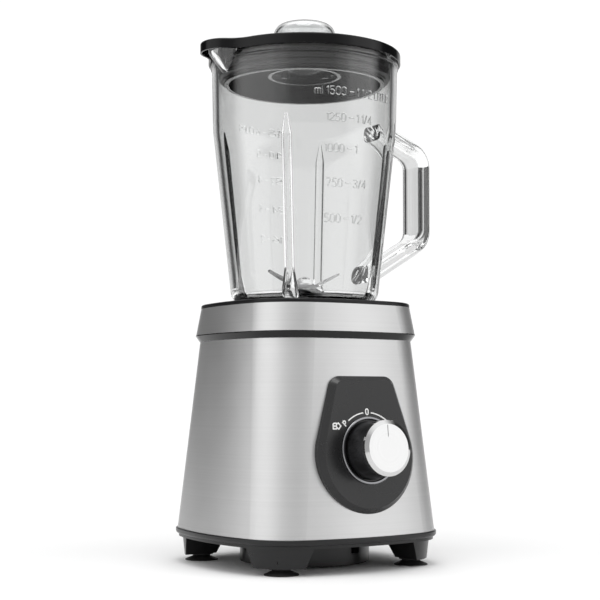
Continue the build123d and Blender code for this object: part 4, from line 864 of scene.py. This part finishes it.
class JB_OT_steel(PieceOperator):
    """Brushed steel of the body and its collar"""

    bl_idname = "jb.steel"
    bl_label = "Brushed steel"

    def execute(self, context):
        settings = context.scene.jb_steel
        along, across = 6.0, 1 / settings.line_pitch
        material = drawn(
            "brushed_steel",
            settings.tint,
            settings.roughness,
            (along, along, across),
            contrast=settings.line_contrast,
        )
        finish(material, "steel_body", "steel_collar")
        return {"FINISHED"}


class JB_OT_base(PieceOperator):
    """Black mouldings and rubber of the base"""

    bl_idname = "jb.base"
    bl_label = "Base mouldings"

    def execute(self, context):
        settings = context.scene.jb_plastic
        black = settings.black
        finish(moulded("seam_gloss_black", black, 0.10, depth=0.000002, shine=0.3), "seam_trim")
        deck = moulded("deck_satin_black", black, 0.32, settings.grain, 0.00001, shine=0.25)
        finish(deck, "top_deck")
        plate = moulded("base_black", black, 0.30, settings.grain, 0.000012, shine=0.4)
        finish(plate, "bottom_plate")
        rubber = moulded("rubber", settings.rubber, 0.62, 0.0007, 0.00003, spread=0.2)
        finish(
            rubber,
            "foot_front_left",
            "foot_front_right",
            "foot_rear_left",
            "foot_rear_right",
            "cord_gland",
        )
        seal = moulded("soft_seal", settings.rubber, 0.45, 0.0006, 0.00001)
        finish(seal, "splash_seal", "motor_mounts", "jug_gasket", "lip_seal", "lid_seal")
        return {"FINISHED"}


class JB_OT_panel(PieceOperator):
    """Control panel, its ring and the printing round the knob"""

    bl_idname = "jb.panel"
    bl_label = "Control panel"

    def execute(self, context):
        plastic = context.scene.jb_plastic
        dial = context.scene.jb_dial
        panel = moulded("panel_grey", plastic.panel, 0.27, 0.0004, 0.000004, shine=0.4)
        finish(panel, "control_panel")
        axes = knob_frame()
        ring = turned_face("ring_chrome", (0.26, 0.26, 0.27), 0.20, axes, 0.0002)
        finish(ring, "knob_bezel")
        face = height_over("control_panel", axes)
        lift = Matrix.Translation((0, 0, face))
        ink = moulded("white_ink", dial.ink, 0.5, 0.0003, 0.000004)
        printed(
            "dial_print",
            self.dial_lines(dial),
            dial.stroke,
            dial.proud,
            axes @ lift,
            ink,
            "base",
        )
        return {"FINISHED"}

    def dial_lines(self, dial):
        """Every printed stroke, in the plane of the panel, with the knob's axis at the origin."""
        gap = 7.0
        marks = [(degrees(dial.pulse_turn), "P"), (0.0, "0")]
        marks += [(-degrees(dial.step), "1"), (-2 * degrees(dial.step), "2")]
        lines = []
        for (here, text), (there, _) in zip(marks, marks[1:]):
            lines.append(
                arc(0, 0, dial.radius, dial.radius, 90 + here - gap, 90 + there + gap, 16)
            )
        for turn, text in marks:
            strokes, width = written(text, dial.height)
            centred = shifted(strokes, -width / 2, dial.radius - dial.height * 0.35)
            lines += turned_strokes(centred, radians(turn))
        return lines + self.ice_cubes(dial)

    def ice_cubes(self, dial):
        """Two ice cubes, one square and one on its corner, beside the P."""
        side = dial.height
        turn = dial.pulse_turn + radians(12)
        middle = Vector((-sin(turn), cos(turn))) * (dial.radius + 0.0052)
        square = [(0.1, 0.5), (-0.5, 0.5), (-0.7, 0.3), (-0.7, -0.5), (0.1, -0.5)]
        corner = [(0.0, 0.3), (0.45, 0.55), (0.95, 0.0), (0.5, -0.55), (0.0, -0.2), (0.0, 0.3)]
        edge = [(-0.7, 0.0), (0.0, 0.0)]
        return [
            [(middle.x + u * side, middle.y + v * side) for u, v in line]
            for line in (square, corner, edge)
        ]


def turned_strokes(strokes, turn):
    """Strokes turned about the origin."""
    c, s = cos(turn), sin(turn)
    return [[(u * c - v * s, u * s + v * c) for u, v in line] for line in strokes]


class JB_OT_knob(PieceOperator):
    """Speed knob: dark grip and bright turned cap"""

    bl_idname = "jb.knob"
    bl_label = "Speed knob"

    def execute(self, context):
        axes = knob_frame()
        grip = drawn(
            "grip_dark",
            (0.060, 0.060, 0.063),
            0.36,
            (900, 900, 500),
            axes=axes,
            contrast=0.6,
            depth=0.00004,
        )
        finish(grip, "knob_grip")
        cap = turned_face("cap_bright", (0.62, 0.62, 0.62), 0.13, axes, 0.00012)
        finish(cap, "knob_cap")
        return {"FINISHED"}


class JB_OT_jug(PieceOperator):
    """Glass jug and its raised scales"""

    bl_idname = "jb.jug"
    bl_label = "Glass jug"

    def execute(self, context):
        settings = context.scene.jb_glass
        glass = clear("jug_glass", settings.tint, 0.0, GLASS_IOR, settings.ripple, settings.ripples)
        finish(glass, "glass_jug")
        marks = clear("raised_glass", settings.tint, 0.05, GLASS_IOR, 0.0, settings.ripples)
        node = frame["nodes"]["glass_jug"].data
        tree = BVHTree.FromPolygons(
            [v.co for v in node.vertices], [tuple(p.vertices) for p in node.polygons]
        )
        for name, turn, rows in (
            ("scale_front", settings.dash_turn, FRONT_SCALE),
            ("scale_rear", settings.dash_turn + pi, REAR_SCALE),
        ):
            paths = []
            for z, left, right in rows:
                strokes = self.row(left, right, settings.mark_height)
                paths += [self.wrapped(tree, line, turn, z, settings) for line in strokes]
            raised(name, paths, settings.mark_stroke, marks, "jug")
        return {"FINISHED"}

    def row(self, left, right, height):
        """One line of the scale, with the middle of its dash at x 0 and its foot at y 0."""
        dash = 0.0037
        gap = 0.0027
        before, width = written(left, height)
        after, _ = written(right, height)
        strokes = shifted(before, -dash / 2 - gap - width, 0)
        strokes += [[(-dash / 2, height / 2), (dash / 2, height / 2)]]
        strokes += shifted(after, dash / 2 + gap, 0)
        return [finely(line, 0.0012) for line in strokes]

    def wrapped(self, tree, line, turn, z, settings):
        """A flat stroke laid round the outside of the glass, its row centred on height z."""
        path = []
        for u, v in line:
            height = z + v - settings.mark_height / 2
            radius = self.surface(tree, turn, height)[0]
            _, point, normal = self.surface(tree, turn + u / radius, height)
            path.append(point + normal * settings.mark_proud)
        return path

    def surface(self, tree, turn, z):
        """Radius, place and outward normal of the glass at a turn from the front and a height."""
        outward = Vector((sin(turn), -cos(turn), 0))
        start = outward * 0.2 + Vector((0, 0, z))
        point, normal, _, _ = tree.ray_cast(start, -outward)
        if point is None:
            raise RuntimeError("the scale misses the glass")
        return point.xy.length, point, normal


def finely(line, step):
    """A stroke with points added so that none are further apart than a step."""
    points = [Vector(line[0])]
    for end in line[1:]:
        start = points[-1].copy()
        run = Vector(end) - start
        count = max(1, int(run.length / step + 0.999))
        points += [start + run * (i + 1) / count for i in range(count)]
    return [tuple(point) for point in points]


# Middle of each row above the table, with the figures left and right of its dash.
FRONT_SCALE = (
    (0.3320, "ml 1500", "1 1/2 LITER"),
    (0.3139, "1250", "1 1/4"),
    (0.2927, "1000", "1"),
    (0.2690, "750", "3/4"),
    (0.2444, "500", "1/2"),
)
REAR_SCALE = (
    (0.3262, "oz 48", "6 CUPS"),
    (0.3086, "40", "5"),
    (0.2882, "32", "4"),
    (0.2653, "24", "3"),
    (0.2418, "16", "2"),
)


class JB_OT_lid(PieceOperator):
    """Lid and measuring cap"""

    bl_idname = "jb.lid"
    bl_label = "Lid and cap"

    def execute(self, context):
        settings = context.scene.jb_lid
        lid = moulded("lid_gloss_black", settings.black, 0.14, 0.0009, 0.0000001, shine=0.22)
        finish(lid, "lid")
        cap = clear(
            "cap_clear",
            settings.cap,
            settings.cap_frost,
            CLEAR_PLASTIC_IOR,
            settings.cap_ripple,
            settings.cap_ripples,
        )
        finish(cap, "measuring_cap")
        return {"FINISHED"}


class JB_OT_blades(PieceOperator):
    """Blades, their shaft, carrier and locking ring"""

    bl_idname = "jb.blades"
    bl_label = "Blade unit"

    def execute(self, context):
        black = context.scene.jb_plastic.black
        honed = drawn("blade_steel", (0.34, 0.34, 0.34), 0.22, (400, 900, 400), contrast=0.12)
        finish(honed, "upper_blades", "lower_blades")
        finish(moulded("carrier_black", black, 0.30, 0.0005, 0.00001), "blade_carrier")
        finish(moulded("ring_black", black, 0.36, 0.0006, 0.000015), "locking_ring")
        finish(moulded("coupling_nylon", (0.30, 0.29, 0.26), 0.42), "driven_coupling")
        upright = Matrix.Identity(4)
        turned_steel = turned_face("turned_steel", (0.66, 0.66, 0.66), 0.20, upright, 0.0002)
        finish(
            turned_steel,
            "blade_shaft",
            "blade_washers",
            "blade_nut",
            "motor_shaft",
            "knob_spindle",
            "base_screws",
            "mount_screws",
            "motor_bolts",
            "switch_nut",
            "brush_spring_front",
            "brush_spring_rear",
        )
        return {"FINISHED"}


class JB_OT_motor(PieceOperator):
    """Motor, chassis, switch and drive inside the base"""

    bl_idname = "jb.motor"
    bl_label = "Motor and drive"

    def execute(self, context):
        settings = context.scene.jb_motor
        nylon = moulded("inner_nylon", (0.05, 0.05, 0.055), 0.5, 0.0006, 0.00002)
        finish(nylon, "motor_chassis", "switch_body", "fan_shroud", "cooling_fan")
        cast = moulded("cast_alloy", (0.55, 0.55, 0.54), 0.48, 0.0009, 0.00006, spread=0.2)
        cast.node_tree.nodes["Principled BSDF"].inputs["Metallic"].default_value = 1.0
        finish(cast, "lower_bracket", "upper_bracket")
        sheets = layered(
            "core_sheets", (0.42, 0.42, 0.43), 0.42, settings.lamination, "Z", 0.00006
        )
        finish(sheets, "stator_core", "rotor_core")
        wound = layered("copper_wire", settings.copper, 0.32, settings.wire, "Z", 0.0002)
        finish(wound, "field_coil_left", "field_coil_right", "rotor_winding")
        bars = drawn("commutator_copper", settings.copper, 0.24, (1500, 1500, 200))
        finish(bars, "commutator")
        bronze = moulded("sintered_bronze", (0.50, 0.33, 0.16), 0.42, 0.0004, 0.00003)
        bronze.node_tree.nodes["Principled BSDF"].inputs["Metallic"].default_value = 1.0
        finish(bronze, "lower_motor_bush", "upper_motor_bush", "jug_bush")
        brass = drawn("holder_brass", (0.78, 0.57, 0.26), 0.28, (60, 1500, 60))
        finish(brass, "brush_holder_front", "brush_holder_rear")
        carbon = moulded("carbon", (0.02, 0.02, 0.02), 0.55, 0.0003, 0.00003)
        finish(carbon, "carbon_brush_front", "carbon_brush_rear")
        case = moulded("capacitor_case", (0.50, 0.36, 0.07), 0.35, 0.0005, 0.000008)
        finish(case, "noise_capacitor")
        drive = moulded("drive_rubber", (0.018, 0.018, 0.018), 0.5, 0.0006, 0.00003)
        finish(drive, "drive_coupling")
        return {"FINISHED"}


class JB_PT_panel(bpy.types.Panel):
    """Lists the steps and their settings in the sidebar"""

    bl_idname = "JB_PT_panel"
    bl_label = "Countertop blender"
    bl_space_type = "VIEW_3D"
    bl_region_type = "UI"
    bl_category = "Blender"

    def draw(self, context):
        layout = self.layout
        for step in STEPS:
            layout.operator(step.bl_idname)
        for name, kind in SETTINGS.items():
            box = layout.box()
            box.label(text=kind.__doc__)
            for prop in kind.__annotations__:
                box.prop(getattr(context.scene, name), prop)


STEPS = (
    JB_OT_stage,
    JB_OT_steel,
    JB_OT_base,
    JB_OT_panel,
    JB_OT_knob,
    JB_OT_jug,
    JB_OT_lid,
    JB_OT_blades,
    JB_OT_motor,
)


def register():
    """Registers the settings, the operators and the panel."""
    for name, kind in SETTINGS.items():
        bpy.utils.register_class(kind)
        setattr(bpy.types.Scene, name, PointerProperty(type=kind))
    for kind in (*STEPS, JB_PT_panel):
        bpy.utils.register_class(kind)


def unregister():
    """Takes them away again."""
    for kind in (JB_PT_panel, *reversed(STEPS)):
        bpy.utils.unregister_class(kind)
    for name, kind in reversed(SETTINGS.items()):
        delattr(bpy.types.Scene, name)
        bpy.utils.unregister_class(kind)


def main():
    """Runs every step in order."""
    register()
    for step in STEPS:
        group, name = step.bl_idname.split(".")
        getattr(getattr(bpy.ops, group), name)()


if __name__ == "__main__":
    main()
